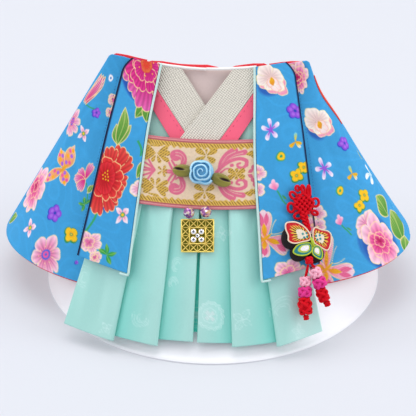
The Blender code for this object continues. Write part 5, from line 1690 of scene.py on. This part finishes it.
def ball_knot(name, place, radius, length, leads, bights, skin, slot, tip):
    """A button knot: one cord that goes round the ball leads times, over and under itself, with
    bights bends at each end. tip is the small knot under it: across, down, radius and length."""
    def wound(across, up, radius, length, leads, bights, cord):
        turn = np.linspace(0, tau * leads, 44 * leads + 1)
        weave_turn = bights * turn / leads
        half, waist = 0.5 * length - cord, radius - cord - 0.3
        height = half * np.sin(weave_turn)
        over = 0.3 * np.sin((leads - 1) * weave_turn)
        reach = waist * np.sqrt(1 - 0.6 * (height / (half + cord)) ** 2) + over
        path = put(place, across + reach * np.cos(turn), up + height, reach * np.sin(turn))
        tilt = np.linspace(0, pi, 14)[:, None]
        around = round_turns(24)[None, :]
        inner = (waist - 0.1) * np.sin(tilt)
        heart = put(place, across + inner * np.cos(around), up + (half + 0.2) * np.cos(tilt),
            inner * np.sin(around))
        return [tube_shape(path, cord, sides=9), closed_shape(heart)]

    shapes = wound(0, 0, radius, length, leads, bights, 0.72)
    if tip:
        across, down, tip_radius, tip_length = tip
        shapes += wound(across, -down, tip_radius, tip_length, 3, 4, 0.5)
    place_on(joined(name + "_wound", shapes, skin), slot, name)


# Columns: name, place across, height, lift, turn, radius, length, leads, bights, material, slot, tip
round_knots = (
    ("charm_end_knot", 47.5, 37.9, 6.4, 0, 2, 3.5, 3, 4, red_cord, "red_cord", ()),
    ("tail_left_pink", 46.97, 30.2, 4, 0, 2.9, 4.8, 3, 5, pink_cord, "pink_cord", ()),
    ("tail_left_magenta", 47, 26.3, 4, 0, 3.45, 5, 3, 5, magenta_cord, "magenta_cord", ()),
    ("tail_left_red", 47.3, 21.1, 4, 0, 3.5, 8, 5, 4, red_cord, "red_cord", (-0.2, 5.1, 1.4, 2.4)),
    ("tail_right_pink", 50.6, 32.9, 6.2, 20, 3.05, 4.8, 3, 5, pink_cord, "pink_cord", ()),
    ("tail_right_magenta", 52.5, 29, 6.2, 20, 3.5, 5, 3, 5, magenta_cord, "magenta_cord", ()),
    ("tail_right_red", 54.2, 24.4, 5.6, 14, 3, 6.6, 5, 4, red_cord, "red_cord", (0.4, 4.4, 1.65, 2.8)),
)
for name, x, z, lift, degrees, radius, length, leads, bights, skin, slot, tip in round_knots:
    place = turned_place(front_place(x, z, lift), degrees)
    ball_knot(name, place, radius, length, leads, bights, skin, slot, tip)

for name, x0, z0, lift0, x1, z1, lift1 in (("tail_left_cord", 47.4, 36, 5.6, 47, 31.9, 4),
        ("tail_right_cord", 48.9, 36.2, 5.8, 49.8, 35.2, 6.2)):
    share = np.linspace(0, 1, 9)
    path = front(x0 + (x1 - x0) * share, z0 + (z1 - z0) * share, lift0 + (lift1 - lift0) * share)
    place_on(joined(name + "_braid", [tube_shape(path, 0.62)], red_cord), "red_cord", name)
